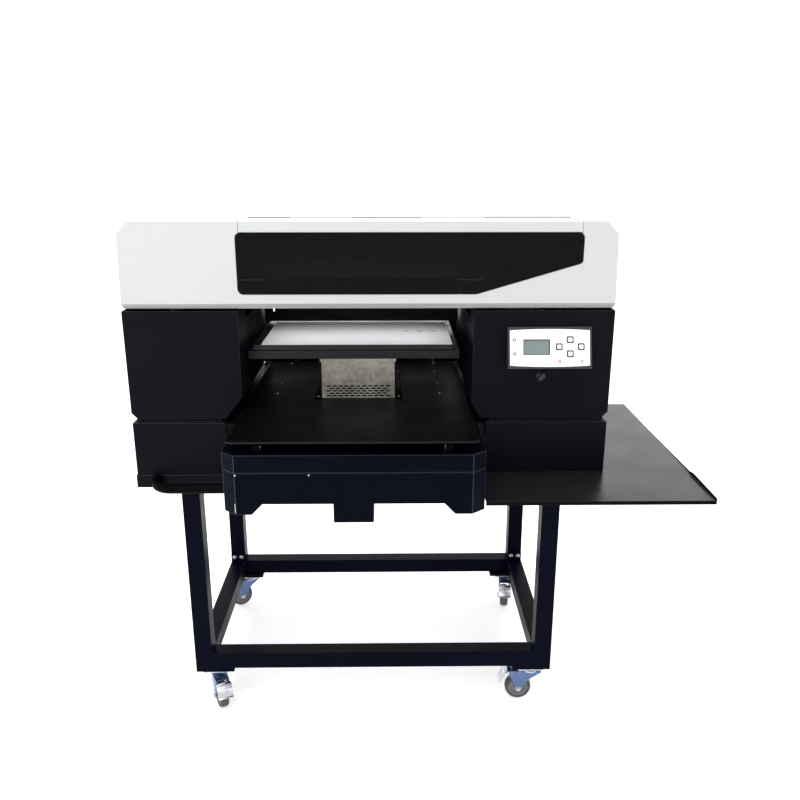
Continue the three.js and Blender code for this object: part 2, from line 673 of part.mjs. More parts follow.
function body() {
  const group = new THREE.Group();
  const powerInlet = block(420, 470, BASE_DEPTH + GAP, BASE_DEPTH + 2, 640, 668);
  group.add(
    part('base_housing_left', baseHousing(-HOUSING_HALF, LOWER_LEFT_INNER, PAN_TOP + GAP), 'blackPaint'),
    part('base_housing_right', baseHousing(LOWER_RIGHT_INNER, HOUSING_HALF, SHELF_TOP + GAP), 'blackPaint'),
    part('upper_housing_left', upperHousing(-HOUSING_HALF, UPPER_LEFT_INNER, 37, 47), 'blackPaint'),
    part('upper_housing_right', upperHousing(HOUSING_HALF, UPPER_RIGHT_INNER, 19, 30), 'blackPaint'),
    part('front_box', frontBox(), 'blackPaint'),
    part('front_box_lid', frontBoxLid(), 'blackPaint'),
    part('rail_bed', railBed(), 'blackPaint'),
    part('rear_panel', rearPanel(), 'blackPaint'),
    part('top_cover', topCover(), 'whitePaint'),
    part('flap_strip', flapStrip(), 'whitePaint'),
    part('window_pane', windowPane(), 'smokedAcrylic'),
    part('power_inlet', powerInlet, 'darkPlastic'),
    controlPanel(),
  );
  return group;
}

// ---------------------------------------------------------------- Y table and bed
function yRail(x) {
  const z0 = LID_TOP + GAP;
  return block(x - RAIL_WIDTH / 2, x + RAIL_WIDTH / 2, -170, 535, z0, z0 + RAIL_HEIGHT);
}

// two bearing blocks joined by a bar, straddling a rail
function saddle(x) {
  const railTop = LID_TOP + GAP + RAIL_HEIGHT;
  const top = DECK_TOP - DECK_SHEET - GAP;
  const slot = block(x - 8.3, x + 8.3, 0, BASE_DEPTH, LID_TOP, railTop + GAP);
  const blocks = [[125, 235], [320, 430]].map(([y0, y1]) => block(x - 21, x + 21, y0, y1, LID_TOP + 4, top));
  const bar = block(x - 21, x + 21, 200, 350, top - 6, top);
  return cut(joined(...blocks, bar), slot);
}

function deckPlate() {
  const shape = new THREE.Shape();
  shape.absarc(DECK_LEFT + DECK_CORNER, BOX_FRONT + DECK_CORNER, DECK_CORNER, 180 * DEGREE, 270 * DEGREE);
  shape.absarc(DECK_RIGHT - DECK_CORNER, BOX_FRONT + DECK_CORNER, DECK_CORNER, 270 * DEGREE, 360 * DEGREE);
  shape.lineTo(DECK_RIGHT, DECK_BACK);
  shape.lineTo(DECK_LEFT, DECK_BACK);
  return raised(shape, DECK_TOP - DECK_SHEET, DECK_TOP, 5);
}

// sheet tower around the bed's lift, with a flange on top and two feet beside its front
function liftHousing() {
  const z0 = DECK_TOP + GAP;
  const tower = block(LIFT_LEFT, LIFT_RIGHT, LIFT_FRONT, LIFT_BACK, z0, LIFT_TOP + 1);
  const flange = block(LIFT_LEFT - 3, LIFT_RIGHT + 3, LIFT_FRONT - 3, LIFT_BACK + 3,
    LIFT_TOP, LIFT_FLANGE_TOP);
  const feet = block(LIFT_LEFT - 16, LIFT_RIGHT + 16, LIFT_FRONT, LIFT_FRONT + 16, z0, z0 + SHEET);
  const hollow = block(LIFT_LEFT + SHEET, LIFT_RIGHT - SHEET, LIFT_FRONT + SHEET, LIFT_BACK - SHEET,
    z0 - 1, LIFT_FLANGE_TOP + 1);
  return cut(joined(tower, flange, feet), hollow);
}

// folded tray, open underneath, with a solid boss where the mast is fixed
function bedFrame(x0, x1, y0, y1) {
  const tray = cut(
    block(BED_LEFT, BED_RIGHT, BED_FRONT, BED_BACK, BED_LOW, BED_TOP),
    block(BED_LEFT + 3, BED_RIGHT - 3, BED_FRONT + 3, BED_BACK - 3, BED_LOW - 1, BED_TOP - 4));
  return joined(tray, block(x0, x1, y0, y1, BED_LOW, BED_TOP - 3));
}

function bed() {
  const group = new THREE.Group();
  const mastX = (LIFT_LEFT + LIFT_RIGHT) / 2;
  const mastY = (LIFT_FRONT + LIFT_BACK) / 2;
  const half = MAST_SIDE / 2;
  const platenFront = BED_FRONT + PLATEN_INSET_Y;
  const platenBack = BED_BACK - PLATEN_INSET_Y;
  const matLow = PLATEN_TOP + GAP;
  group.add(
    part('bed_frame', bedFrame(mastX - half, mastX + half, mastY - half, mastY + half), 'deckPaint'),
    part('platen', block(PLATEN_LEFT, PLATEN_RIGHT, platenFront, platenBack, BED_TOP + GAP, PLATEN_TOP),
      'platenAluminium'),
    part('media_mat', block(PLATEN_LEFT + MAT_MARGIN, PLATEN_RIGHT - 1, platenFront + 0.5, platenBack,
      matLow, matLow + MAT_THICKNESS), 'whiteMat'),
    part('lift_mast', block(mastX - half, mastX + half, mastY - half, mastY + half, MAST_LOW, BED_LOW - GAP),
      'railSteel'),
  );
  return group;
}

function yTable() {
  const group = new THREE.Group();
  const leftX = TABLE_MIDDLE - RAIL_OFFSET;
  const rightX = TABLE_MIDDLE + RAIL_OFFSET;
  group.add(
    part('y_rail_left', yRail(leftX), 'railSteel'),
    part('y_rail_right', yRail(rightX), 'railSteel'),
    part('saddle_left', saddle(leftX), 'railSteel'),
    part('saddle_right', saddle(rightX), 'railSteel'),
    part('deck_plate', deckPlate(), 'deckPaint'),
    part('lift_housing', liftHousing(), 'galvanised'),
    bed(),
  );
  return group;
}

// ---------------------------------------------------------------- print gantry and inside parts
// portal: a box beam across the machine on two upright end plates, with a rail on its front
function gantryBeam() {
  const foot = UPPER_LOW;
  const endPlates = [-BEAM_HALF, BEAM_HALF - 14].map(
    (x) => block(x, x + 14, BEAM_FRONT - 20, BEAM_BACK + 20, foot, BEAM_HIGH));
  const beam = block(-BEAM_HALF, BEAM_HALF, BEAM_FRONT, BEAM_BACK, BEAM_LOW, BEAM_HIGH);
  const hollow = block(-BEAM_HALF - 1, BEAM_HALF + 1, BEAM_FRONT + 4, BEAM_BACK - 4,
    BEAM_LOW + 4, BEAM_HIGH - 4);
  const rail = block(-BEAM_HALF + 20, BEAM_HALF - 20, BEAM_FRONT - 10, BEAM_FRONT + 1,
    BEAM_LOW + 30, BEAM_LOW + 45);
  return cut(joined(beam, rail, ...endPlates), hollow);
}

function printCarriage() {
  const back = BEAM_FRONT - 2;
  const carrier = block(-75, 75, 118, back, BEAM_LOW, 1106);
  const railSlot = block(-80, 80, back - 9, back + 1, BEAM_LOW + 29, BEAM_LOW + 46);
  return cut(carrier, railSlot);
}

function printHead() {
  return joined(block(-45, 45, 135, 225, HEAD_LOW + 12, BEAM_LOW - GAP), block(-38, 38, 142, 218, HEAD_LOW, 962));
}

function cappingStation() {
  const column = block(-40, 40, 145, 215, UPPER_LOW, 930);
  const cap = cut(block(-46, 46, 134, 226, 928, HEAD_LOW - 1), block(-34, 34, 146, 214, 936, HEAD_LOW));
  return joined(column, cap);
}

// a rack of ink tanks: one base with a row of raised tank bodies
function inkTankSet() {
  const tanks = [0, 1, 2, 3, 4].map((i) => block(-470 + i * 31, -444 + i * 31, 60, 200, 750, 880));
  return joined(block(-478, -312, 52, 208, UPPER_LOW, 752), ...tanks);
}

function motor(shaftLength) {
  const can = block(-28, 28, -28, 28, 0, 56);
  const shaft = uprightCylinder(4, 55, 56 + shaftLength, 12);
  const pulley = uprightCylinder(9, 60, 56 + shaftLength - 2, 16);
  return joined(can, shaft, pulley);
}

function insideParts() {
  const group = new THREE.Group();
  const carriage = part('print_carriage', printCarriage(), 'darkPlastic');
  const head = part('print_head', printHead(), 'railSteel');
  const capping = part('capping_station', cappingStation(), 'darkPlastic');
  for (const mesh of [carriage, head, capping]) {
    mesh.position.x = PARK_X;
  }
  const yMotor = part('y_motor', motor(14), 'darkPlastic');
  yMotor.rotation.x = -90 * DEGREE;
  yMotor.position.set(-29, -150, BOX_LOW + SHEET + 28 + GAP);
  const carriageMotor = part('carriage_motor', motor(20), 'darkPlastic');
  carriageMotor.rotation.x = 180 * DEGREE;
  carriageMotor.position.set(-400, BEAM_BACK + 29, BEAM_HIGH);
  group.add(
    part('gantry_beam', gantryBeam(), 'railSteel'),
    part('ink_tank_set', inkTankSet(), 'tankPlastic'),
    carriage, head, capping, yMotor, carriageMotor,
  );
  return group;
}

// ---------------------------------------------------------------- machine
function machine() {
  const whole = new THREE.Group();
  whole.add(stand(), body(), yTable(), insideParts());
  const box = new THREE.Box3().setFromObject(whole);
  const middle = box.getCenter(new THREE.Vector3());
  whole.position.set(-middle.x, -middle.y, -box.min.z);
  const group = new THREE.Group();
  group.add(whole);
  return group;
}

export default machine();
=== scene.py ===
"""Looks of a flatbed UV printer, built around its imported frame. Metres, +Z up, operator at -Y."""
import json
import math

import bmesh
import bpy
from mathutils import Matrix, Vector


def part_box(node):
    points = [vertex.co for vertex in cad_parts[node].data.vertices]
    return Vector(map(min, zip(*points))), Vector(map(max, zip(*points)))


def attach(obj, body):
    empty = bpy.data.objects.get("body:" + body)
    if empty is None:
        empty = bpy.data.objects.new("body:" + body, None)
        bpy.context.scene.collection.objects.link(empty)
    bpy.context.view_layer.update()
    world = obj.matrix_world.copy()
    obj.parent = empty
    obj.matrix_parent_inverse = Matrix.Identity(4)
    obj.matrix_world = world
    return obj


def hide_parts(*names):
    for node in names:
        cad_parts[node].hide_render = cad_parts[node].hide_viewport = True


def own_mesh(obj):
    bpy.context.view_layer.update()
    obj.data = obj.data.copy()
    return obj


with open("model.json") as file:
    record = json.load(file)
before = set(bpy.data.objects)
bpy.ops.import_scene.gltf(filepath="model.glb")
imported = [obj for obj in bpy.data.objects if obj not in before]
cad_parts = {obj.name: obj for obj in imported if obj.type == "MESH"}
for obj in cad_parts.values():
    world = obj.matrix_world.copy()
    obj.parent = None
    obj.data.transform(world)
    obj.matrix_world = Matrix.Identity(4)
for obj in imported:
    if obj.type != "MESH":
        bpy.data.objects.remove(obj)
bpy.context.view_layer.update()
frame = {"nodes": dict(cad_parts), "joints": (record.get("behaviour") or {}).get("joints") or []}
NODES = frame["nodes"]
JOINTS = {joint["name"]: joint for joint in frame["joints"]}

MM = 0.001
CORNERS = ("front_left", "front_right", "rear_left", "rear_right")
KEYS = ("up", "down", "left", "right")
FORK_HALF = 15.7 * MM  # half the width over a caster fork's cheeks

# camera: place in metres, downward pitch and rightward yaw in degrees, lens in millimetres
CAMERA_PLACE = (-0.0488, -1.7755, 1.2618)
CAMERA_PITCH = 16.71
CAMERA_YAW = 0.70
CAMERA_LENS = 35.82


# ---------------------------------------------------------------- materials
class Finish:
    """A principled material, with helpers that add procedural colour, roughness and relief."""

    def __init__(self, name, color, roughness, metallic=0.0, **constants):
        self.material = bpy.data.materials.new(name)
        self.material.use_nodes = True
        self.tree = self.material.node_tree
        self.shader = self.tree.nodes["Principled BSDF"]
        self.color = color
        self.roughness = roughness
        self.shader.inputs["Base Color"].default_value = (*color, 1.0)
        self.shader.inputs["Roughness"].default_value = roughness
        self.shader.inputs["Metallic"].default_value = metallic
        for socket, value in constants.items():
            self.shader.inputs[socket.replace("_", " ").title().replace("Ior", "IOR")].default_value = value
        self.normal = None

    def node(self, kind, **settings):
        made = self.tree.nodes.new(kind)
        for name, value in settings.items():
            if hasattr(made, name):
                setattr(made, name, value)
            else:
                made.inputs[name.replace("_", " ").title()].default_value = value
        return made

    def link(self, source, target):
        self.tree.links.new(source, target)

    def places(self, stretch=(1, 1, 1)):
        """Object coordinates in metres, stretched along the axes."""
        coordinates = self.node("ShaderNodeTexCoord")
        mapping = self.node("ShaderNodeMapping")
        mapping.inputs["Scale"].default_value = stretch
        self.link(coordinates.outputs["Object"], mapping.inputs["Vector"])
        return mapping.outputs["Vector"]

    def noise(self, scale, detail=3, stretch=(1, 1, 1)):
        noise = self.node("ShaderNodeTexNoise", scale=scale, detail=detail)
        self.link(self.places(stretch), noise.inputs["Vector"])
        return noise.outputs["Fac"]

    def ranged(self, value, low, high, start=0.3, end=0.7):
        """The value between start and end, spread over low to high."""
        spread = self.node("ShaderNodeMapRange")
        for socket, number in (("From Min", start), ("From Max", end), ("To Min", low), ("To Max", high)):
            spread.inputs[socket].default_value = number
        self.link(value, spread.inputs["Value"])
        return spread.outputs["Result"]

    def blend_color(self, factor, first, second):
        mix = self.node("ShaderNodeMix", data_type="RGBA")
        for index, color in ((6, first), (7, second)):
            if isinstance(color, tuple):
                mix.inputs[index].default_value = (*color, 1.0)
            else:
                self.link(color, mix.inputs[index])
        self.link(factor, mix.inputs["Factor"])
        return mix.outputs[2]

    def mottle(self, scale, amount, detail=3, stretch=(1, 1, 1)):
        """Lighter and darker patches of the base colour."""
        dark = tuple(c * (1 - amount) for c in self.color)
        light = tuple(min(1.0, c * (1 + amount)) for c in self.color)
        factor = self.ranged(self.noise(scale, detail, stretch), 0, 1)
        self.link(self.blend_color(factor, dark, light), self.shader.inputs["Base Color"])
        return self

    def uneven_gloss(self, scale, amount, stretch=(1, 1, 1)):
        low = max(0.02, self.roughness - amount)
        varied = self.ranged(self.noise(scale, 4, stretch), low, self.roughness + amount)
        self.link(varied, self.shader.inputs["Roughness"])
        return self

    def relief(self, height, depth, strength=1.0):
        bump = self.node("ShaderNodeBump")
        bump.inputs["Distance"].default_value = depth
        bump.inputs["Strength"].default_value = strength
        self.link(height, bump.inputs["Height"])
        if self.normal is not None:
            self.link(self.normal, bump.inputs["Normal"])
        self.normal = bump.outputs["Normal"]
        self.link(self.normal, self.shader.inputs["Normal"])
        return self

    def grain(self, scale, depth, strength=1.0, detail=2, stretch=(1, 1, 1)):
        return self.relief(self.noise(scale, detail, stretch), depth, strength)

    def tilt(self, start, end):
        """0 to 1 as the upward part of the surface's direction goes from start to end."""
        geometry = self.node("ShaderNodeNewGeometry")
        split = self.node("ShaderNodeSeparateXYZ")
        self.link(geometry.outputs["Normal"], split.inputs["Vector"])
        return self.ranged(split.outputs["Z"], 0, 1, start=start, end=end)


def powder_coat(name, color, roughness, gloss, grain_depth=0.00006):
    """Baked powder: fine orange peel, a slightly uneven gloss and faint colour drift."""
    finish = Finish(name, color, roughness, specular_ior_level=gloss)
    finish.mottle(5, 0.18).uneven_gloss(11, 0.06)
    finish.grain(1400, grain_depth, 0.5).grain(260, grain_depth, 0.25)
    return finish.material


def shelf_coat():
    """Powder coat painted lighter and glossier on upward faces as a painted sheen, dark on the folded edges.
    """
    finish = Finish("shelf_powder_coat", (0.010, 0.0098, 0.0105), 0.30)
    finish.uneven_gloss(11, 0.06).grain(1400, 0.00006, 0.5)
    # Upward faces get a lighter colour and a higher specular level than the folded edges: a painted sheen on
    # top.
    flat = finish.tilt(0.5, 0.95)
    finish.link(finish.blend_color(flat, (0.0022, 0.0026, 0.0052), (0.0105, 0.0102, 0.011)),
                finish.shader.inputs["Base Color"])
    finish.link(finish.ranged(flat, 0.03, 0.25, 0, 1), finish.shader.inputs["Specular IOR Level"])
    return finish.material


def white_paint():
    finish = Finish("white_powder_coat", (0.50, 0.51, 0.515), 0.42, specular_ior_level=0.35)
    finish.mottle(3.5, 0.02).uneven_gloss(9, 0.05)
    base = finish.shader.inputs["Base Color"]
    # Faces that look downwards are blended towards a darker grey: painted shade on the undersides.
    painted_underside_shade = finish.blend_color(finish.tilt(-0.3, -0.75), base.links[0].from_socket, (0.27, 0.275, 0.28))
    finish.link(painted_underside_shade, base)
    return finish.grain(1500, 0.00005, 0.45).grain(240, 0.00005, 0.2).material


def smoked_acrylic():
    finish = Finish("smoked_acrylic", (0.017, 0.014, 0.017), 0.04, specular_ior_level=0.12)
    finish.shader.inputs["Transmission Weight"].default_value = 0.75
    finish.shader.inputs["IOR"].default_value = 1.17
    return finish.uneven_gloss(30, 0.015).grain(9, 0.0002, 0.15).material


def galvanised_sheet():
    """Zinc spangle: angular patches of slightly different grey, with soft stains."""
    finish = Finish("galvanised_sheet", (0.36, 0.34, 0.29), 0.42, metallic=0.9)
    spangle = finish.node("ShaderNodeTexVoronoi", scale=150)
    finish.link(finish.places(), spangle.inputs["Vector"])
    crystals = finish.node("ShaderNodeSeparateColor")
    finish.link(spangle.outputs["Color"], crystals.inputs["Color"])
    pale = (0.46, 0.44, 0.38)
    dull = (0.27, 0.255, 0.215)
    base = finish.blend_color(finish.ranged(crystals.outputs[0], 0.2, 0.8, 0, 1), dull, pale)
    stains = finish.ranged(finish.noise(22, 4), 0, 0.6, 0.45, 0.75)
    stained = finish.blend_color(stains, base, (0.62, 0.6, 0.54))
    finish.link(stained, finish.shader.inputs["Base Color"])
    finish.link(finish.ranged(crystals.outputs[1], 0.32, 0.52, 0, 1), finish.shader.inputs["Roughness"])
    return finish.grain(500, 0.00004, 0.3).material


def metal(name, color, roughness, stretch=(1, 1, 1), scale=120, amount=0.12):
    """Worked metal: a fine directional grain with an uneven gloss."""
    finish = Finish(name, color, roughness, metallic=1.0)
    finish.mottle(scale, amount, 4, stretch).uneven_gloss(scale, roughness * 0.35, stretch)
    return finish.grain(scale * 6, 0.00002, 0.3, 3, stretch).material


def plastic(name, color, roughness, grain_scale=1600, gloss=0.45):
    finish = Finish(name, color, roughness, specular_ior_level=gloss)
    finish.mottle(14, 0.04).uneven_gloss(20, 0.05)
    return finish.grain(grain_scale, 0.00004, 0.5).material


def rubber(name, color):
    finish = Finish(name, color, 0.68, specular_ior_level=0.2)
    finish.mottle(45, 0.16, 5).uneven_gloss(40, 0.12)
    return finish.grain(700, 0.00008, 0.6, 4).material


def mat_sheet():
    """White print mat: faint tool streaks and a fine woven tooth."""
    finish = Finish("print_mat", (0.67, 0.67, 0.69), 0.38, specular_ior_level=0.4)
    finish.mottle(4, 0.035, 3, (1, 0.25, 1)).uneven_gloss(14, 0.08)
    return finish.grain(1800, 0.00003, 0.5).material


def glowing(name, color, strength):
    finish = Finish(name, color, 0.3)
    finish.shader.inputs["Emission Color"].default_value = (*color, 1.0)
    finish.shader.inputs["Emission Strength"].default_value = strength
    return finish.mottle(300, 0.1).material


BLACK = powder_coat("black_powder_coat", (0.0030, 0.0034, 0.0062), 0.46, 0.05)
BOX_BLACK = powder_coat("box_powder_coat", (0.0011, 0.0019, 0.0058), 0.44, 0.025)
STAND_BLACK = powder_coat("stand_powder_coat", (0.0010, 0.0016, 0.0068), 0.36, 0.03)
DECK_BLACK = powder_coat("deck_powder_coat", (0.0018, 0.0017, 0.0019), 0.40, 0.025)
BED_BLACK = powder_coat("bed_powder_coat", (0.0125, 0.0125, 0.0150), 0.36, 0.16)
SHELF_BLACK = shelf_coat()
# Lighter paint that the bevels on sharp edges take: a painted highlight along the edges.
EDGE_SHEEN = powder_coat("painted_highlight_edge", (0.013, 0.014, 0.018), 0.34, 0.22)
WHITE = white_paint()
ACRYLIC = smoked_acrylic()
GALVANISED = galvanised_sheet()
ZINC = metal("zinc_plate", (0.60, 0.62, 0.66), 0.27)
BLUED_ZINC = metal("blue_passivated_zinc", (0.12, 0.18, 0.32), 0.34)
STEEL = metal("ground_steel", (0.50, 0.51, 0.53), 0.24, (1, 0.05, 1))
BEAM_METAL = metal("anodised_beam", (0.58, 0.58, 0.60), 0.34, (0.05, 1, 1), 120, 0.03)
PLATEN_METAL = metal("anodised_platen", (0.026, 0.026, 0.029), 0.36, (0.1, 1, 1))
SCREW_METAL = metal("bright_screw", (0.52, 0.52, 0.53), 0.38)
DARK_SCREW = metal("black_oxide_screw", (0.05, 0.05, 0.055), 0.36)
MAT = mat_sheet()
BEZEL = plastic("silver_bezel", (0.032, 0.0325, 0.034), 0.36, 1600, 0.3)
PANEL_WHITE = plastic("panel_membrane", (0.88, 0.89, 0.89), 0.42)
KEY_RING = plastic("key_ring", (0.075, 0.072, 0.075), 0.4)
KEY_WHITE = plastic("key_cap", (0.86, 0.87, 0.87), 0.4)
LCD = plastic("display_glass", (0.155, 0.205, 0.20), 0.14, 200)
LCD_EDGE = plastic("display_edge", (0.03, 0.035, 0.035), 0.25)
DARK_PLASTIC = plastic("dark_plastic", (0.012, 0.012, 0.014), 0.42)
GREY_PLASTIC = plastic("grey_plastic", (0.04, 0.042, 0.045), 0.46)
TYRE = rubber("caster_tyre", (0.075, 0.075, 0.08))
WHEEL_HUB = plastic("wheel_hub", (0.15, 0.155, 0.165), 0.4)
SEAL_RUBBER = rubber("black_seal", (0.005, 0.005, 0.006))
BRISTLE = rubber("bristle", (0.0022, 0.0024, 0.0034))
MARK_DARK = plastic("mark_ink", (0.05, 0.05, 0.06), 0.6)
MARK_LIGHT = plastic("mark_white", (0.9, 0.9, 0.9), 0.6)
RED_LED = glowing("red_led", (0.62, 0.03, 0.08), 0.25)
GREY_LED = plastic("unlit_led", (0.20, 0.21, 0.21), 0.3)


# ---------------------------------------------------------------- mesh building
IDENTITY = Matrix.Identity(4)


def at(x, y, z):
    return Matrix.Translation((x, y, z))


def basis(origin, x_axis, y_axis):
    """Placement whose x and y axes point along the given unit vectors."""
    x_axis = Vector(x_axis).normalized()
    y_axis = Vector(y_axis).normalized()
    z_axis = x_axis.cross(y_axis)
    matrix = Matrix((x_axis, y_axis, z_axis)).transposed().to_4x4()
    matrix.translation = Vector(origin)
    return matrix


def facing(origin, direction):
    """Placement whose z axis points along the direction."""
    matrix = Vector(direction).to_track_quat("Z", "Y").to_matrix().to_4x4()
    matrix.translation = Vector(origin)
    return matrix


def mm(*points):
    """Points given in millimetres, as metres."""
    return [tuple(value * MM for value in point) for point in points]


def pivot(joint):
    """Place of a joint at rest."""
    return Vector(JOINTS[joint]["pos_m"])


def show(made):
    """Puts an object into the scene."""
    bpy.context.scene.collection.objects.link(made)
    return made


def rounded_outline(x0, x1, y0, y1, radius, steps=6):
    """Rectangle with rounded corners, counter-clockwise."""
    points = []
    centres = ((x1 - radius, y0 + radius, -90), (x1 - radius, y1 - radius, 0),
               (x0 + radius, y1 - radius, 90), (x0 + radius, y0 + radius, 180))
    for x, y, start in centres:
        for step in range(steps + 1):
            angle = math.radians(start + 90 * step / steps)
            points.append((x + radius * math.cos(angle), y + radius * math.sin(angle)))
    return points


class Build:
    """Collects closed shapes and turns them into one piece."""

    def __init__(self):
        self.mesh = bmesh.new()

    def keep(self, part, place, bevel, segments):
        bmesh.ops.recalc_face_normals(part, faces=part.faces[:])
        if bevel:
            sharp = [e for e in part.edges if len(e.link_faces) == 2 and e.calc_face_angle(0) > 0.5]
            bmesh.ops.bevel(part, geom=sharp, offset=bevel, segments=segments, profile=0.5, affect="EDGES")
        part.transform(place)
        copy = bpy.data.meshes.new("part")
        part.to_mesh(copy)
        part.free()
        self.mesh.from_mesh(copy)
        bpy.data.meshes.remove(copy)
        return self

    def prism(self, outline, low, high, place=IDENTITY, bevel=0.0, segments=2):
        """The outline (x, y) raised from low to high."""
        part = bmesh.new()
        bottom = [part.verts.new((x, y, low)) for x, y in outline]
        top = [part.verts.new((x, y, high)) for x, y in outline]
        part.faces.new(bottom[::-1])
        part.faces.new(top)
        for i, start in enumerate(bottom):
            j = (i + 1) % len(outline)
            part.faces.new((start, bottom[j], top[j], top[i]))
        return self.keep(part, place, bevel, segments)

    def box(self, low, high, place=IDENTITY, bevel=0.0, segments=2):
        (x0, y0, z0), (x1, y1, z1) = low, high
        return self.prism([(x0, y0), (x1, y0), (x1, y1), (x0, y1)], z0, z1, place, bevel, segments)

    def lathe(self, profile, place=IDENTITY, steps=48, closed=False):
        """The profile (radius, height) turned about z; a third value makes that ring six-sided."""
        part = bmesh.new()
        rings = []
        for radius, height, *six_sided in profile:
            if radius == 0:
                rings.append([part.verts.new((0, 0, height))])
                continue
            ring = []
            for i in range(steps):
                angle = 2 * math.pi * i / steps
                reach = radius
                if six_sided:
                    reach = radius * math.cos(math.pi / 6) / math.cos(angle % (math.pi / 3) - math.pi / 6)
                ring.append(part.verts.new((reach * math.cos(angle), reach * math.sin(angle), height)))
            rings.append(ring)
        pairs = list(zip(rings, rings[1:]))
        if closed:
            pairs.append((rings[-1], rings[0]))
        for low, high in pairs:
            for i in range(steps):
                j = (i + 1) % steps
                if len(low) == 1 and len(high) == 1:
                    break
                if len(low) == 1:
                    part.faces.new((low[0], high[j], high[i]))
                elif len(high) == 1:
                    part.faces.new((low[i], low[j], high[0]))
                else:
                    part.faces.new((low[i], low[j], high[j], high[i]))
        return self.keep(part, place, 0, 0)

    def tube(self, points, radius, sides=28):
        """Round bar along level points, with closed ends."""
        part = bmesh.new()
        points = [Vector(p) for p in points]
        up = Vector((0, 0, 1))
        rings = []
        for i, point in enumerate(points):
            ahead = points[min(i + 1, len(points) - 1)] - points[max(i - 1, 0)]
            along = ahead.normalized()
            side = along.cross(up).normalized()
            rise = side.cross(along)
            turns = [2 * math.pi * k / sides for k in range(sides)]
            rings.append([part.verts.new(point + radius * (side * math.cos(a) + rise * math.sin(a)))
                          for a in turns])
        for low, high in zip(rings, rings[1:]):
            for k in range(sides):
                n = (k + 1) % sides
                part.faces.new((low[k], low[n], high[n], high[k]))
        part.faces.new(rings[0][::-1])
        part.faces.new(rings[-1])
        return self.keep(part, IDENTITY, 0, 0)

    def piece(self, name, body, finish, slot, smooth=32, replaces=()):
        """Makes the object and rides it on its body; the slot argument is not used."""
        mesh = bpy.data.meshes.new(name)
        self.mesh.to_mesh(mesh)
        self.mesh.free()
        for polygon in mesh.polygons:
            polygon.use_smooth = True
        mesh.set_sharp_from_angle(angle=math.radians(smooth))
        mesh.materials.append(finish)
        made = show(bpy.data.objects.new(name, mesh))
        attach(made, body)
        if replaces:
            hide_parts(*replaces)
        return made


def pan_head(build, spot, direction, radius):
    """Domed screw head with a hexagonal socket."""
    profile = [(0, -0.2 * radius), (radius, -0.2 * radius), (radius, 0.15 * radius),
               (0.93 * radius, 0.38 * radius), (0.75 * radius, 0.56 * radius), (0.55 * radius, 0.64 * radius),
               (0.5 * radius, 0.64 * radius, 6), (0.48 * radius, 0.1 * radius, 6), (0, 0.1 * radius)]
    build.lathe(profile, facing(spot, direction), 24)


def hex_bolt(build, spot, direction, radius):
    """Washer with a chamfered hexagon head on it."""
    place = facing(spot, direction)
    build.lathe([(0, -0.1 * radius), (1.28 * radius, -0.1 * radius), (1.28 * radius, 0.12 * radius),
                 (1.2 * radius, 0.2 * radius), (0, 0.2 * radius)], place, 32)
    build.lathe([(0, 0.15 * radius), (radius, 0.15 * radius, 6), (radius, 0.7 * radius, 6),
                 (0.82 * radius, 0.86 * radius), (0, 0.86 * radius)], place, 24)


# ---------------------------------------------------------------- carried-over nodes
def plain_normals_group():
    """Node group that drops imported normals, so that bevels shade cleanly."""
    group = bpy.data.node_groups.new("plain_normals", "GeometryNodeTree")
    group.interface.new_socket("Geometry", in_out="INPUT", socket_type="NodeSocketGeometry")
    group.interface.new_socket("Geometry", in_out="OUTPUT", socket_type="NodeSocketGeometry")
    start = group.nodes.new("NodeGroupInput")
    end = group.nodes.new("NodeGroupOutput")
    plain = group.nodes.new("GeometryNodeSetMeshNormal")
    plain.mode = "SHARPNESS"
    plain.inputs["Remove Custom"].default_value = True
    plain.inputs["Face Sharpness"].default_value = True
    group.links.new(start.outputs[0], plain.inputs[0])
    group.links.new(plain.outputs[0], end.inputs[0])
    return group


PLAIN_NORMALS = plain_normals_group()


def dress(node, finish, bevel=0.0010, segments=3, edge=None):
    """Gives a node its material, merges its flat triangles and breaks its sharp edges; an edge material given
    here paints a highlight on the bevels.
    """
    shape = NODES[node]
    shape.material_slots[0].link = "OBJECT"
    shape.material_slots[0].material = finish
    if edge is not None:
        shape.data.materials.append(edge)
    shape.modifiers.new("plain_normals", "NODES").node_group = PLAIN_NORMALS
    weld = shape.modifiers.new("weld", "WELD")
    weld.merge_threshold = 1e-5
    flat = shape.modifiers.new("flat", "DECIMATE")
    flat.decimate_type = "DISSOLVE"
    flat.angle_limit = math.radians(0.5)
    if bevel:
        edges = shape.modifiers.new("edges", "BEVEL")
        edges.width = bevel
        edges.segments = segments
        edges.limit_method = "ANGLE"
        edges.angle_limit = math.radians(30)
        # The bevel faces take the edge material, a painted highlight.
        if edge is not None:
            edges.material = 1


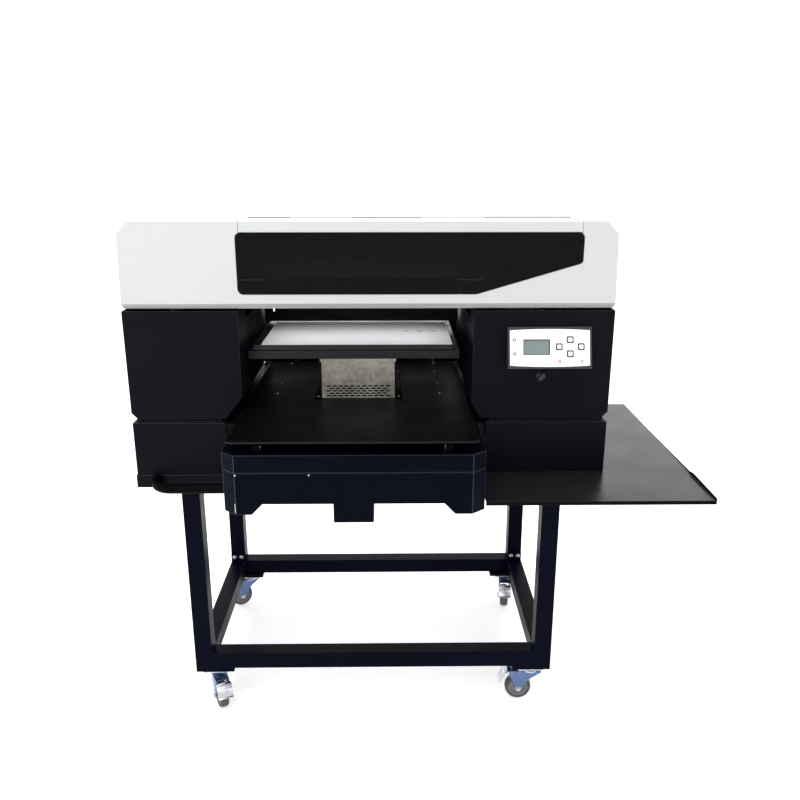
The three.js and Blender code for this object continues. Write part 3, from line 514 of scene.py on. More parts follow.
def dress_all():
    plan = [
        (("front_frame", "rear_frame", "side_rail_left", "side_rail_right"), STAND_BLACK, 0.0022, 4),
        (("rail_bed", "rear_panel"), BLACK, 0.0008, 2),
        (("side_shelf",), SHELF_BLACK, 0.0008, 3),
        (("top_cover",), WHITE, 0.0010, 3),
        (("flap_strip",), WHITE, 0.0004, 2),
        (("window_pane",), ACRYLIC, 0.0005, 2),
        (("platen",), PLATEN_METAL, 0.0008, 3),
        (("media_mat",), MAT, 0.0003, 2),
        (("lift_mast", "y_rail_left", "y_rail_right", "saddle_left", "saddle_right"), STEEL, 0.0006, 2),
        (("gantry_beam",), BEAM_METAL, 0.0010, 2),
        (("panel_bezel",), BEZEL, 0.0008, 3),
        (("panel_face",), PANEL_WHITE, 0.0004, 2),
        (("lcd_screen",), LCD, 0.0003, 2),
        (tuple(f"key_{k}" for k in KEYS), KEY_RING, 0.0004, 2),
        (("print_carriage", "capping_station", "y_motor", "carriage_motor", "ink_tank_set"),
         DARK_PLASTIC, 0.0015, 3),
        (("print_head",), BEAM_METAL, 0.0010, 2),
    ]
    for names, finish, bevel, segments in plan:
        for node in names:
            dress(node, finish, bevel, segments)
    # These parts take the lighter edge material on their bevels: a painted highlight.
    painted_highlight = [
        (("base_pan", "base_housing_left", "base_housing_right"), BLACK, 0.0010),
        (("upper_housing_left", "upper_housing_right"), BLACK, 0.0012),
        (("front_box", "front_box_lid"), BOX_BLACK, 0.0013),
        (("deck_plate",), DECK_BLACK, 0.0008),
        (("bed_frame",), BED_BLACK, 0.0012),
    ]
    for names, finish, bevel in painted_highlight:
        for node in names:
            dress(node, finish, bevel, 2, EDGE_SHEEN)


# ---------------------------------------------------------------- stand and casters
def caster_frame(corner):
    """Placement at the floor under a caster's swivel, with x towards its wheel."""
    swivel = pivot(f"swivel_{corner}_turn")
    wheel = pivot(f"wheel_{corner}_roll")
    along = Vector((wheel.x - swivel.x, wheel.y - swivel.y, 0)).normalized()
    across = Vector((-along.y, along.x, 0))
    return basis((swivel.x, swivel.y, 0), along, across)


def caster_plate(corner):
    """Mounting plate with rounded corners, a pressed ball race and four bolts."""
    lo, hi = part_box(f"caster_plate_{corner}")
    middle = (lo + hi) / 2
    half = (hi - lo) / 2
    place = at(middle.x, middle.y, 0)
    underside = hi.z - 2.6 * MM
    plate = Build()
    plate.prism(rounded_outline(-half.x, half.x, -half.y, half.y, 6 * MM), underside, hi.z, place, 0.6 * MM)
    plate.lathe([(0, lo.z), (13.5 * MM, lo.z), (15.6 * MM, lo.z + 1.2 * MM), (15.9 * MM, lo.z + 3.4 * MM),
                 (18.5 * MM, lo.z + 5.2 * MM), (21 * MM, underside), (21 * MM, hi.z - 1.5 * MM),
                 (0, hi.z - 1.5 * MM)], place)
    plate.piece(f"caster_plate_pressed_{corner}", "machine", ZINC, "zinc_plate",
                replaces=(f"caster_plate_{corner}",))
    bolts = Build()
    for side_x in (-1, 1):
        for side_y in (-1, 1):
            x = middle.x + side_x * (half.x - 7 * MM)
            y = middle.y + side_y * (half.y - 6.5 * MM)
            hex_bolt(bolts, (x, y, underside), (0, 0, -1), 4 * MM)
    bolts.piece(f"caster_bolts_{corner}", "machine", SCREW_METAL, "zinc_plate")


def caster_fork(corner):
    """Pressed fork: two cheeks that narrow to the axle, joined by a top plate."""
    place = caster_frame(corner)
    along = place.to_3x3().col[0]
    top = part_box(f"caster_fork_{corner}")[1].z / MM
    axle = pivot(f"wheel_{corner}_roll")
    reach = (axle - place.translation).dot(along) / MM
    height = axle.z / MM
    eye_radius = 8.2
    eye = [(reach + eye_radius * math.cos(a), height + eye_radius * math.sin(a))
           for a in (math.radians(170 + 200 * i / 12) for i in range(13))]
    heel = -26
    nose = 46
    outline = [(heel, top), (heel, top - 6), (-1, top - 22), (13, height + 12)] + eye
    outline += [(reach + 11, height + 12), (nose - 1, top - 22), (nose + 5, top - 16), (nose + 5, top - 4),
                (nose, top)]
    upright = basis(place.translation, along, (0, 0, 1))
    inner = FORK_HALF - 2.5 * MM
    fork = Build()
    for low, high in ((-FORK_HALF, -inner), (inner, FORK_HALF)):
        fork.prism(mm(*outline), low, high, upright, 0.5 * MM)
    fork.box((heel * MM, (top - 2.4) * MM, -FORK_HALF), (nose * MM, top * MM, FORK_HALF), upright, 0.5 * MM)
    fork.piece(f"caster_fork_pressed_{corner}", f"swivel_{corner}", BLUED_ZINC, "zinc_plate",
               replaces=(f"caster_fork_{corner}",))


def caster_wheel(corner):
    """Tyre with a crowned tread, stepped hub with bearing covers, and the axle's bolt and nut."""
    spot = pivot(f"wheel_{corner}_roll")
    axis = Vector(JOINTS[f"wheel_{corner}_roll"]["axis"])
    lo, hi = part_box(f"caster_wheel_{corner}")
    radius = (hi.z - lo.z) / 2
    half = 11 * MM
    place = facing(spot, axis)
    tyre = Build()
    rim = 0.72 * radius
    crown = [(rim, -half * 0.86), (radius - 4 * MM, -half * 0.95), (radius - 1.8 * MM, -half * 0.82),
             (radius - 0.5 * MM, -half * 0.5), (radius, 0), (radius - 0.5 * MM, half * 0.5),
             (radius - 1.8 * MM, half * 0.82), (radius - 4 * MM, half * 0.95), (rim, half * 0.86)]
    tyre.lathe(crown, place, 72, closed=True)
    tyre.piece(f"caster_tyre_{corner}", f"wheel_{corner}", TYRE, "grey_rubber", 25,
               replaces=(f"caster_wheel_{corner}",))
    hub = Build()
    side = [(4.7 * MM, half), (9.5 * MM, half), (10.5 * MM, half * 0.86), (11 * MM, half * 0.62),
            (17.5 * MM, half * 0.55), (18.5 * MM, half * 0.8), (20 * MM, half * 0.84), (rim, half * 0.8)]
    hub.lathe(side + [(r, -z) for r, z in reversed(side)], place, 64, closed=True)
    hub.piece(f"caster_hub_{corner}", f"wheel_{corner}", WHEEL_HUB, "grey_rubber", 28)
    axle = Build()
    for way in (-1, 1):
        hex_bolt(axle, spot + axis * way * FORK_HALF, axis * way, 5.2 * MM)
    axle.piece(f"axle_bolt_{corner}", f"swivel_{corner}", SCREW_METAL, "zinc_plate")


def caster_details(corner):
    """Kingpin, dust ring and pressed brake pedal of one caster."""
    place = caster_frame(corner)
    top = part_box(f"caster_fork_{corner}")[1].z
    ring = Build()
    ring.lathe([(9 * MM, top - 4.6 * MM), (19 * MM, top - 4.6 * MM), (20.5 * MM, top - 2.8 * MM),
                (20.5 * MM, top - 0.4 * MM), (9 * MM, top - 0.4 * MM)], place, closed=True)
    ring.lathe([(0, top - 12 * MM), (5.5 * MM, top - 12 * MM, 6), (5.5 * MM, top - 5 * MM, 6),
                (0, top - 5 * MM)], place, 24)
    ring.piece(f"swivel_ring_{corner}", f"swivel_{corner}", ZINC, "zinc_plate")

    upright = basis(pivot(f"pedal_{corner}_press"), place.to_3x3().col[0], (0, 0, 1))
    thick = 1.6
    crest = [(-3, 2), (4, 5.5), (7, 7), (9, 8.6), (10.6, 7.4), (12, 8.4), (13.4, 7), (14.9, 7.2), (15.6, 5),
             (17.6, 3.8), (18, 1.2), (20, -0.2), (20.4, -2.6), (26.6, -17.4), (27.6, -18.6), (30, -19.6)]
    under = [(x - 0.6, z - thick) if x > 8 else (x, z - thick) for x, z in reversed(crest)]
    neck = mm(*((x, z) for x, z in crest + under if x < 9.5))
    tread = mm(*((x, z) for x, z in crest + under if x > 7.5))
    neck_half = 12 * MM
    tread_half = 17.3 * MM
    pedal = Build()
    pedal.prism(neck, -neck_half, neck_half, upright, 0.3 * MM)
    pedal.prism(tread, -tread_half, tread_half, upright, 0.4 * MM)
    flank = mm((8, 7), (14, 6), (26, -17), (24, -18.5), (13, -2), (8, 2))
    for low, high in ((-tread_half, -15.9 * MM), (15.9 * MM, tread_half)):
        pedal.prism(flank, low, high, upright, 0.2 * MM)
    pedal.lathe(mm((0, -13), (2.2, -13), (2.2, 13), (0, 13)), upright, 20)
    pedal.piece(f"brake_pedal_pressed_{corner}", f"pedal_{corner}", ZINC, "zinc_plate",
                replaces=(f"brake_pedal_{corner}",))


def stand_bolts():
    """Pairs of button-head bolts through the side rails' end tabs, and bolts under the pan."""
    bolts = Build()
    for rail in ("side_rail_left", "side_rail_right"):
        lo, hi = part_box(rail)
        middle = (lo.x + hi.x) / 2
        for y, way in ((lo.y + 4 * MM, 1), (hi.y - 4 * MM, -1)):
            for shift in (-9.7 * MM, 9.7 * MM):
                pan_head(bolts, (middle + shift, y, hi.z - 12 * MM), (0, way, 0), 6.2 * MM)
    bolts.piece("side_rail_bolts", "machine", SCREW_METAL, "zinc_plate")
    caps = Build()
    half_tube = 20 * MM
    front_lo, front_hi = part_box("front_frame")
    rear_lo, rear_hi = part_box("rear_frame")
    front_y = (front_lo.y + front_hi.y) / 2
    for lo, hi, y in ((front_lo, front_hi, front_y), (rear_lo, rear_hi, rear_hi.y - half_tube)):
        for x in (lo.x + half_tube, hi.x - half_tube):
            hex_bolt(caps, (x, y, hi.z + 3 * MM), (0, 0, 1), 6 * MM)
    caps.piece("pan_bolts", "machine", DARK_SCREW, "zinc_plate")


# ---------------------------------------------------------------- handle
def push_handle():
    """Smooth round bar with a bend, a wall flange and a flange on the front box."""
    lo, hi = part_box("push_handle")
    flange = 15 * MM
    radius = 10.5 * MM
    bend = 40 * MM
    left = lo.x + flange
    front = lo.y + flange
    level = (lo.z + hi.z) / 2
    points = [(left, hi.y, level)]
    for step in range(17):
        angle = math.radians(90 * step / 16)
        points.append((left + bend * (1 - math.cos(angle)), front + bend * (1 - math.sin(angle)), level))
    points.append((hi.x, front, level))
    bar = Build()
    bar.tube(points, radius, 36)
    for spot, direction in (((left, hi.y, level), (0, -1, 0)), ((hi.x, front, level), (-1, 0, 0))):
        bar.lathe([(0, 0), (flange, 0), (flange, 1.6 * MM), (flange - MM, 2.6 * MM), (radius, 3 * MM),
                   (0, 3 * MM)], facing(spot, direction))
    bar.piece("push_handle_bar", "machine", DECK_BLACK, "deck_paint", replaces=("push_handle",))


# ---------------------------------------------------------------- front box, deck and lift
def front_box_details():
    """Screws below the lid's seam, the small clip on the left foot and the lid's seal."""
    lo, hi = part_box("front_box")
    seam = hi.z - 4 * MM
    screws = Build()
    for x in (lo.x + 28 * MM, lo.x + 168 * MM):
        pan_head(screws, (x, lo.y, seam), (0, -1, 0), 2 * MM)
    screws.piece("front_box_screws", "machine", SCREW_METAL, "zinc_plate")
    clip = Build()
    clip.box(*mm((-0.7, -1, -12), (0.7, 0.2, 7)), at(lo.x + 25 * MM, lo.y, lo.z + 34 * MM), 0.3 * MM)
    clip.piece("front_box_clip", "machine", SCREW_METAL, "zinc_plate")
    seal = Build()
    lid_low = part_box("front_box_lid")[0].z
    inset = 30 * MM
    seal.box((lo.x + inset, lo.y + 3 * MM, hi.z - 1.2 * MM),
             (hi.x - inset, lo.y + 5 * MM, lid_low + 0.8 * MM), bevel=0.2 * MM)
    seal.piece("lid_seal", "machine", SEAL_RUBBER, "black_paint")


def deck_screws():
    """Screws that hold the deck to its saddles, and the lift housing's foot screws."""
    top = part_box("deck_plate")[1].z
    saddle_lo, saddle_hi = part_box("saddle_left")
    end = 13 * MM
    inner = 98 * MM
    screws = Build()
    for rail in ("y_rail_left", "y_rail_right"):
        lo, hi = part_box(rail)
        for y in (saddle_lo.y + end, saddle_lo.y + inner, saddle_hi.y - inner, saddle_hi.y - end):
            pan_head(screws, ((lo.x + hi.x) / 2, y, top), (0, 0, 1), 2.7 * MM)
    lo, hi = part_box("lift_housing")
    for x in (lo.x + 7 * MM, hi.x - 7 * MM):
        for y in (lo.y + 9 * MM, lo.y + 133 * MM, hi.y - 14 * MM):
            pan_head(screws, (x, y, top + 2.3 * MM), (0, 0, 1), 2.6 * MM)
    screws.piece("deck_screws", "y_table", SCREW_METAL, "zinc_plate")


def oval_outline(half_length, half_height, steps=6):
    """Slot with round ends."""
    reach = half_length - half_height
    points = []
    for centre, start in ((reach, -90), (-reach, 90)):
        for step in range(steps + 1):
            angle = math.radians(start + 180 * step / steps)
            points.append((centre + half_height * math.cos(angle), half_height * math.sin(angle)))
    return points


def cut_shape(shape, cutter):
    """The evaluated mesh of the shape with the cutter taken out of it."""
    cut = shape.modifiers.new("cut", "BOOLEAN")
    cut.object = cutter
    cut.operation = "DIFFERENCE"
    cut.solver = "EXACT"
    bpy.context.view_layer.update()
    result = shape.evaluated_get(bpy.context.evaluated_depsgraph_get())
    mesh = bpy.data.meshes.new_from_object(result)
    bpy.data.objects.remove(cutter)
    bpy.data.objects.remove(shape)
    return mesh


def clean_copy(node):
    """Copy of a node's shape with merged corners and flat faces."""
    shape = show(bpy.data.objects.new(f"{node}_copy", NODES[node].data.copy()))
    shape.modifiers.new("plain_normals", "NODES").node_group = PLAIN_NORMALS
    shape.modifiers.new("weld", "WELD").merge_threshold = 1e-5
    flat = shape.modifiers.new("flat", "DECIMATE")
    flat.decimate_type = "DISSOLVE"
    flat.angle_limit = math.radians(0.5)
    return shape


def temporary(build, name):
    """Object that only cuts another one and is removed afterwards."""
    mesh = bpy.data.meshes.new(name)
    build.mesh.to_mesh(mesh)
    build.mesh.free()
    return show(bpy.data.objects.new(name, mesh))


def lift_housing():
    """Folded zinc housing around the lift, with staggered rows of oval vents at the front."""
    lo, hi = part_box("lift_housing")
    foot = 16 * MM
    front = lo.y + 4.1 * MM
    middle = (lo.x + hi.x) / 2
    row_pitch = 5.6 * MM
    column_pitch = 13.1 * MM
    slots = Build()
    for row in range(5):
        count = 11 - row % 2
        for column in range(count):
            x = middle + (column - (count - 1) / 2) * column_pitch
            z = lo.z + 5.2 * MM + row * row_pitch
            spot = basis((x, front, z), (1, 0, 0), (0, 0, 1))
            slots.prism(oval_outline(4.9 * MM, 1.75 * MM), -4 * MM, 4 * MM, spot)
    mesh = cut_shape(clean_copy("lift_housing"), temporary(slots, "slots"))
    mesh.materials.clear()
    mesh.materials.append(GALVANISED)
    mesh.materials.append(DECK_BLACK)
    for polygon in mesh.polygons:
        polygon.use_smooth = True
        if abs(polygon.center.x - middle) > (hi.x - lo.x) / 2 - foot + 0.3 * MM:
            polygon.material_index = 1
    mesh.set_sharp_from_angle(angle=math.radians(30))
    housing = show(bpy.data.objects.new("lift_housing_vented", mesh))
    edges = housing.modifiers.new("edges", "BEVEL")
    edges.width = 0.35 * MM
    edges.segments = 2
    edges.limit_method = "ANGLE"
    edges.angle_limit = math.radians(40)
    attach(housing, "y_table")
    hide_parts("lift_housing")
    # Dark strips over the feet, reaching a little past their edges: painted shade along the feet.
    shade_pads = Build()
    past = 0.3 * MM
    pad = foot - 0.5 * MM
    for x0, x1 in ((lo.x - past, lo.x + pad), (hi.x - pad, hi.x + past)):
        shade_pads.box((x0, lo.y - past, lo.z + 0.2 * MM), (x1, hi.y + past, lo.z + 2.25 * MM), bevel=0.4 * MM)
    shade_pads.piece("lift_foot_shade_pads", "y_table", DECK_BLACK, "galvanised_steel")
    core = Build()
    inset = foot + 9 * MM
    core.box((lo.x + inset, front + 22 * MM, lo.z + 1 * MM),
             (hi.x - inset, front + 26 * MM, lo.z + 62 * MM), bevel=1 * MM)
    core.piece("lift_inner_plate", "y_table", DARK_PLASTIC, "dark_plastic")


def bed_details():
    """Two rows of marks on the mat, and the bed frame's screws."""
    lo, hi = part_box("media_mat")
    dark = Build()
    light = Build()
    margin = 34 * MM
    step = 31.6 * MM
    for column in range(3):
        spot = at(hi.x - margin - column * step, lo.y + 133 * MM, hi.z)
        dark.box(*mm((-6.3, -2.2, -0.1), (6.3, 2.2, 0.12)), spot)
    for column in range(4):
        spot = at(hi.x - margin - column * step, lo.y + 226 * MM, hi.z)
        light.box(*mm((-6.3, -1.8, -0.1), (6.3, 1.8, 0.12)), spot)
    dark.piece("mat_marks_dark", "bed", MARK_DARK, "white_mat")
    light.piece("mat_marks_light", "bed", MARK_LIGHT, "white_mat")
    frame_lo, frame_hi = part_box("bed_frame")
    screws = Build()
    for x in (frame_lo.x + 6 * MM, frame_hi.x - 6 * MM):
        for share in (0.06, 0.35, 0.65, 0.94):
            y = frame_lo.y + share * (frame_hi.y - frame_lo.y)
            pan_head(screws, (x, y, frame_hi.z), (0, 0, 1), 2.2 * MM)
    screws.piece("bed_screws", "bed", DARK_SCREW, "zinc_plate")


def rail_details():
    """Screw heads along the rails, end stops, and wiper seals on the saddles."""
    screws = Build()
    stops = Build()
    count = 12
    end = 20 * MM
    head = mm((0, -0.2), (3.2, -0.2), (3.2, 0.05), (2.9, 0.1), (2.1, 0.1, 6), (2.1, -0.1, 6), (0, -0.1))
    for rail in ("y_rail_left", "y_rail_right"):
        lo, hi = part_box(rail)
        middle = (lo.x + hi.x) / 2
        for i in range(count):
            y = lo.y + end + i * (hi.y - lo.y - 2 * end) / (count - 1)
            screws.lathe(head, facing((middle, y, hi.z), (0, 0, 1)), 24)
        inset = 0.6 * MM
        stops.box((lo.x + inset, lo.y - 5 * MM, lo.z), (hi.x - inset, lo.y, hi.z + 2 * MM), bevel=0.8 * MM)
    screws.piece("rail_screws", "machine", DARK_SCREW, "zinc_plate")
    stops.piece("rail_stops", "machine", DECK_BLACK, "dark_plastic")
    for saddle in ("saddle_left", "saddle_right"):
        lo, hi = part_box(saddle)
        wipers = Build()
        for y in (lo.y - 1.2 * MM, hi.y - 1.3 * MM):
            for x0, x1 in ((lo.x + 1 * MM, lo.x + 13 * MM), (hi.x - 13 * MM, hi.x - 1 * MM)):
                wipers.box((x0, y, lo.z + 0.6 * MM), (x1, y + 2.5 * MM, hi.z - 1 * MM), bevel=0.5 * MM)
        wipers.piece(f"{saddle}_wipers", "y_table", DECK_BLACK, "dark_plastic")


# ---------------------------------------------------------------- control panel and knob
def panel_place():
    """Placement on the panel's face: x to the right, y up the face, z out of it."""
    shape = NODES["panel_face"].data
    forward = [p for p in shape.polygons if p.normal.y < -0.5]
    normal = max(forward, key=lambda p: p.area).normal.copy()
    across = Vector((1, 0, 0))
    rise = normal.cross(across)
    corners = [shape.vertices[i].co for p in forward if p.normal.dot(normal) > 0.999 for i in p.vertices]
    height = max(c.dot(normal) for c in corners)
    corners = [c for c in corners if c.dot(normal) > height - 0.2 * MM]
    u = [c.dot(across) for c in corners]
    v = [c.dot(rise) for c in corners]
    centre = across * (min(u) + max(u)) / 2 + rise * (min(v) + max(v)) / 2 + normal * height
    return basis(centre, across, rise)


def panel_details():
    """Display frame, key caps, indicators and lamps, on the leaning face."""
    face = panel_place()
    across = Vector(face.col[0][:3])
    rise = Vector(face.col[1][:3])
    centre = Vector(face.col[3][:3])

    def on_face(node):
        """Middle of a node, as distances across and up the face."""
        lo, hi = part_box(node)
        middle = (lo + hi) / 2 - centre
        return middle.dot(across), middle.dot(rise)

    u, v = on_face("lcd_screen")
    lcd_lo, lcd_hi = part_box("lcd_screen")
    half_u = (lcd_hi.x - lcd_lo.x) / 2
    half_v = 15.6 * MM
    thick = 1.7 * MM
    # The dark frame is real; its top and right strips are wider than the others to paint the shade of the
    # display's recess along those edges.
    sides = ((-half_u, half_u, half_v - thick, half_v), (half_u - thick, half_u, -half_v, half_v),
             (-half_u, half_u, -half_v, -half_v + 0.8 * MM), (-half_u, -half_u + 0.7 * MM, -half_v, half_v))
    border = Build()
    for x0, x1, y0, y1 in sides:
        border.box((u + x0, v + y0, -0.6 * MM), (u + x1, v + y1, 0.25 * MM), face, 0.15 * MM)
    border.piece("display_frame", "machine", LCD_EDGE, "panel_plastic")

    key_half = 4.3 * MM
    key_outline = rounded_outline(-key_half, key_half, -key_half, key_half, 1.9 * MM)
    for key in KEYS:
        cap = Build()
        cap.prism(key_outline, 0.6 * MM, 1.75 * MM, face @ at(*on_face(f"key_{key}"), 0), 0.3 * MM)
        cap.piece(f"key_pad_{key}", f"key_{key}_cap", KEY_WHITE, "panel_plastic")

    # Dark strips in the gap along the bottom and left of the face: painted shade in that gap.
    shade_gap = Build()
    shade_gap.box(*mm((-83, -41.2, -3), (83, -39.6, -0.9)), face, 0.2 * MM)
    shade_gap.box(*mm((-85.2, -41.2, -3), (-83.2, 41.2, -0.9)), face, 0.2 * MM)
    shade_gap.piece("bezel_shade_gap", "machine", DARK_PLASTIC, "bezel_plastic")
    rings = Build()
    lenses = Build()
    for place in mm((-72.8, 16.3, 0), (-72.1, -12.1, 0)):
        spot = face @ at(*place)
        rings.lathe(mm((1.9, -0.3), (3.4, -0.3), (3.4, 0.5), (3, 0.9), (2.3, 0.9), (1.9, 0.5)), spot, 32,
                    closed=True)
        lenses.lathe(mm((0, -0.3), (1.85, -0.3), (1.85, 0.3), (1.2, 0.7), (0, 0.85)), spot, 28)
    rings.piece("indicator_rings", "machine", GREY_PLASTIC, "panel_plastic")
    lenses.piece("indicator_lenses", "machine", KEY_WHITE, "panel_plastic")
    for name, u, finish in (("red_lamp", 19.3, RED_LED), ("grey_lamp", 64.8, GREY_LED)):
        spot = face @ at(u * MM, -27.6 * MM, 0)
        lamp = Build()
        lamp.lathe(mm((1.3, -0.3), (3.1, -0.3), (3.1, 0.5), (2.6, 0.8), (1.7, 0.8), (1.3, 0.5)), spot, 28,
                   closed=True)
        lamp.piece(name, "machine", finish, "panel_plastic")
        lens = Build()
        lens.lathe(mm((0, -0.3), (1.25, -0.3), (1.25, 0.4), (0, 0.75)), spot, 24)
        lens.piece(f"{name}_lens", "machine", KEY_WHITE, "panel_plastic")


def turn_knob():
    """Small rotary knob: a skirt and a slanting wing with an index edge."""
    lo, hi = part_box("turn_knob")
    middle = (lo + hi) / 2
    origin = (middle.x, hi.y, middle.z)
    radius = (hi.x - lo.x) / 2
    depth = hi.y - lo.y
    slant = basis(origin, (1, 0, 0), (0, 0, 1)) @ Matrix.Rotation(math.radians(-33), 4, "Z")
    knob = Build()
    knob.lathe([(0, 0), (radius, 0), (radius, 1.6 * MM), (0.93 * radius, 2.4 * MM), (0.8 * radius, 3 * MM),
                (0.74 * radius, 4.6 * MM), (0.7 * radius, 5 * MM), (0, 5 * MM)],
               facing(origin, (0, -1, 0)), 48)
    wing = radius - 0.6 * MM
    knob.prism(rounded_outline(-2.6 * MM, 2.6 * MM, -wing, wing, 2.3 * MM), 4 * MM, depth, slant, 0.8 * MM, 3)
    knob.piece("turn_knob_moulded", "knob", DARK_PLASTIC, "dark_plastic", replaces=("turn_knob",))
    edge = Build()
    reach = radius - 3 * MM
    edge.box((-2.2 * MM, -reach, depth - 0.7 * MM), (0.6 * MM, reach, depth + 0.15 * MM), slant, 0.4 * MM)
    edge.piece("knob_index", "knob", DARK_SCREW, "zinc_plate")


# ---------------------------------------------------------------- top cover, flap and housings
def flap_hinge():
    """Hinge knuckles at the flap's rear edge, stops behind its side gaps and a raised black strip behind it,
    whose black paints the rear seam's shadow line.
    """
    pin = pivot("flap_hinge")
    lo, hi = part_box("flap_strip")
    knuckle = 26 * MM
    radius = 1.8 * MM
    chamfer = 0.3 * MM
    length = knuckle - 0.4 * MM
    profile = [(0, 0), (radius - chamfer, 0), (radius, chamfer), (radius, length - chamfer),
               (radius - chamfer, length), (0, length)]
    groups = {"machine": Build(), "window_flap": Build()}
    for start in (lo.x + 90 * MM, (lo.x + hi.x) / 2 + 25 * MM):
        for i in range(5):
            body = "machine" if i % 2 == 0 else "window_flap"
            spot = (start + i * knuckle, pin.y, hi.z - 0.9 * MM)
            groups[body].lathe(profile, facing(spot, (1, 0, 0)), 20)
    for body, build in groups.items():
        build.piece(f"hinge_knuckles_{body}", body, WHITE, "white_paint")
    stops = Build()
    for x in (lo.x, hi.x):
        stops.box((x - 4 * MM, lo.y + 3.2 * MM, lo.z + 2 * MM), (x + 4 * MM, lo.y + 4.2 * MM, hi.z - 3 * MM),
                  bevel=0.2 * MM)
    stops.piece("flap_stops", "machine", WHITE, "white_paint")
    # A raised black strip along the rear seam: its black is painted shade for the seam's shadow line.
    seam_shade_strip = Build()
    seam_shade_strip.box((lo.x, pin.y + 2.4 * MM, hi.z - 0.3 * MM), (hi.x, pin.y + 3.8 * MM, hi.z + 1.1 * MM),
               bevel=0.3 * MM)
    seam_shade_strip.piece("flap_seam_shade_strip", "machine", SEAL_RUBBER, "dark_plastic")


def housing_details():
    """Screws along the housings' side edges, and the cover's small locating tab."""
    screws = Build()
    for side, node in ((-1, "upper_housing_left"), (1, "upper_housing_right")):
        lo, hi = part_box(node)
        wall = lo.x if side < 0 else hi.x
        for y in (lo.y + 40 * MM, (lo.y + hi.y) / 2, hi.y - 60 * MM):
            for z in (lo.z + 14 * MM, hi.z - 14 * MM):
                pan_head(screws, (wall, y, z), (side, 0, 0), 3.2 * MM)
    for side, node in ((-1, "base_housing_left"), (1, "base_housing_right")):
        lo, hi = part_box(node)
        wall = lo.x if side < 0 else hi.x
        for y in (lo.y + 40 * MM, (lo.y + hi.y) / 2, hi.y - 40 * MM):
            pan_head(screws, (wall, y, hi.z - 14 * MM), (side, 0, 0), 3.2 * MM)
    screws.piece("housing_screws", "machine", DARK_SCREW, "zinc_plate")
    tab = Build()
    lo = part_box("top_cover")[0]
    tab.box(*mm((0, 1, -5), (3, 3, 2)), at(lo.x + 306 * MM, lo.y, lo.z), 0.4 * MM)
    tab.piece("cover_tab", "machine", PANEL_WHITE, "white_paint")


def louvres(build, place, width, count, pitch):
    """Column of pressed louvres, one above another."""
    for i in range(count):
        z = i * pitch
        outline = [(0, z), (2.2 * MM, z - 0.4 * MM), (2.4 * MM, z + 0.4 * MM), (0, z + pitch * 0.62)]
        build.prism(outline, -width / 2, width / 2, place, 0.25 * MM)


def rear_details():
    """Rear panels: louvres, a fan guard, and the inlet's plate with its pins and screws."""
    lo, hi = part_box("base_housing_left")
    vents = Build()
    back = basis(((lo.x + hi.x) / 2, hi.y, lo.z + 34 * MM), (0, 1, 0), (0, 0, 1))
    louvres(vents, back, 110 * MM, 6, 9 * MM)
    lo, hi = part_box("upper_housing_left")
    back = basis(((lo.x + hi.x) / 2, hi.y, lo.z + 60 * MM), (0, 1, 0), (0, 0, 1))
    louvres(vents, back, 150 * MM, 9, 11 * MM)
    vents.piece("rear_louvres", "machine", BLACK, "black_paint")
    lo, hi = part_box("upper_housing_right")
    spot = facing(((lo.x + hi.x) / 2, hi.y, (lo.z + hi.z) / 2), (0, 1, 0))
    guard = Build()
    for radius in (14, 23, 32, 41, 50):
        ring = [((radius + 0.9 * math.cos(a)) * MM, (2.4 + 0.9 * math.sin(a)) * MM)
                for a in (2 * math.pi * i / 8 for i in range(8))]
        guard.lathe(ring, spot, 64, closed=True)
    for turn in range(4):
        arm = spot @ Matrix.Rotation(math.pi / 4 + turn * math.pi / 2, 4, "Z")
        guard.box((8 * MM, -1 * MM, 1.2 * MM), (58 * MM, 1 * MM, 2.6 * MM), arm, 0.4 * MM)
        guard.lathe([(0, 0), (4 * MM, 0), (4 * MM, 2 * MM), (3.2 * MM, 2.8 * MM), (0, 2.8 * MM)],
                    arm @ at(60 * MM, 0, 0), 24)
    guard.piece("fan_guard", "machine", SCREW_METAL, "zinc_plate")
    fan = Build()
    fan.lathe([(0, 0.1 * MM), (53 * MM, 0.1 * MM), (53 * MM, 0.5 * MM), (0, 0.5 * MM)], spot, 64)
    fan.lathe([(0, 0.4 * MM), (17 * MM, 0.4 * MM), (16 * MM, 1.4 * MM), (0, 1.4 * MM)], spot, 48)
    fan.piece("fan_face", "machine", DARK_PLASTIC, "dark_plastic")
    lo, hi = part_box("power_inlet")
    upright = basis(((lo.x + hi.x) / 2, lo.y, (lo.z + hi.z) / 2), (-1, 0, 0), (0, 0, 1))
    inlet = Build()
    half = (hi.x - lo.x) / 2
    height = (hi.z - lo.z) / 2
    deep = hi.y - lo.y
    inlet.prism(rounded_outline(-half, half, -height, height, 3 * MM), 0, deep, upright, 0.3 * MM)
    socket = mm((-12.5, -8.5), (12.5, -8.5), (12.5, 4), (8.5, 8.5), (-8.5, 8.5), (-12.5, 4))
    inlet.prism(socket, deep - 0.2 * MM, deep + 1.4 * MM, upright, 0.4 * MM)
    inlet.piece("power_inlet_moulded", "machine", DARK_PLASTIC, "dark_plastic", replaces=("power_inlet",))
    pins = Build()
    for place in mm((-6, -2.5, 0), (6, -2.5, 0), (0, 2.6, 0)):
        pins.box((-0.8 * MM, -2.2 * MM, deep + 1 * MM), (0.8 * MM, 2.2 * MM, deep + 2.2 * MM),
                 upright @ at(*place), 0.2 * MM)
    for x in (-half + 4.5 * MM, half - 4.5 * MM):
        pan_head(pins, upright @ Vector((x, 0, deep)), (0, 1, 0), 2.3 * MM)
    pins.piece("inlet_pins", "machine", SCREW_METAL, "zinc_plate")


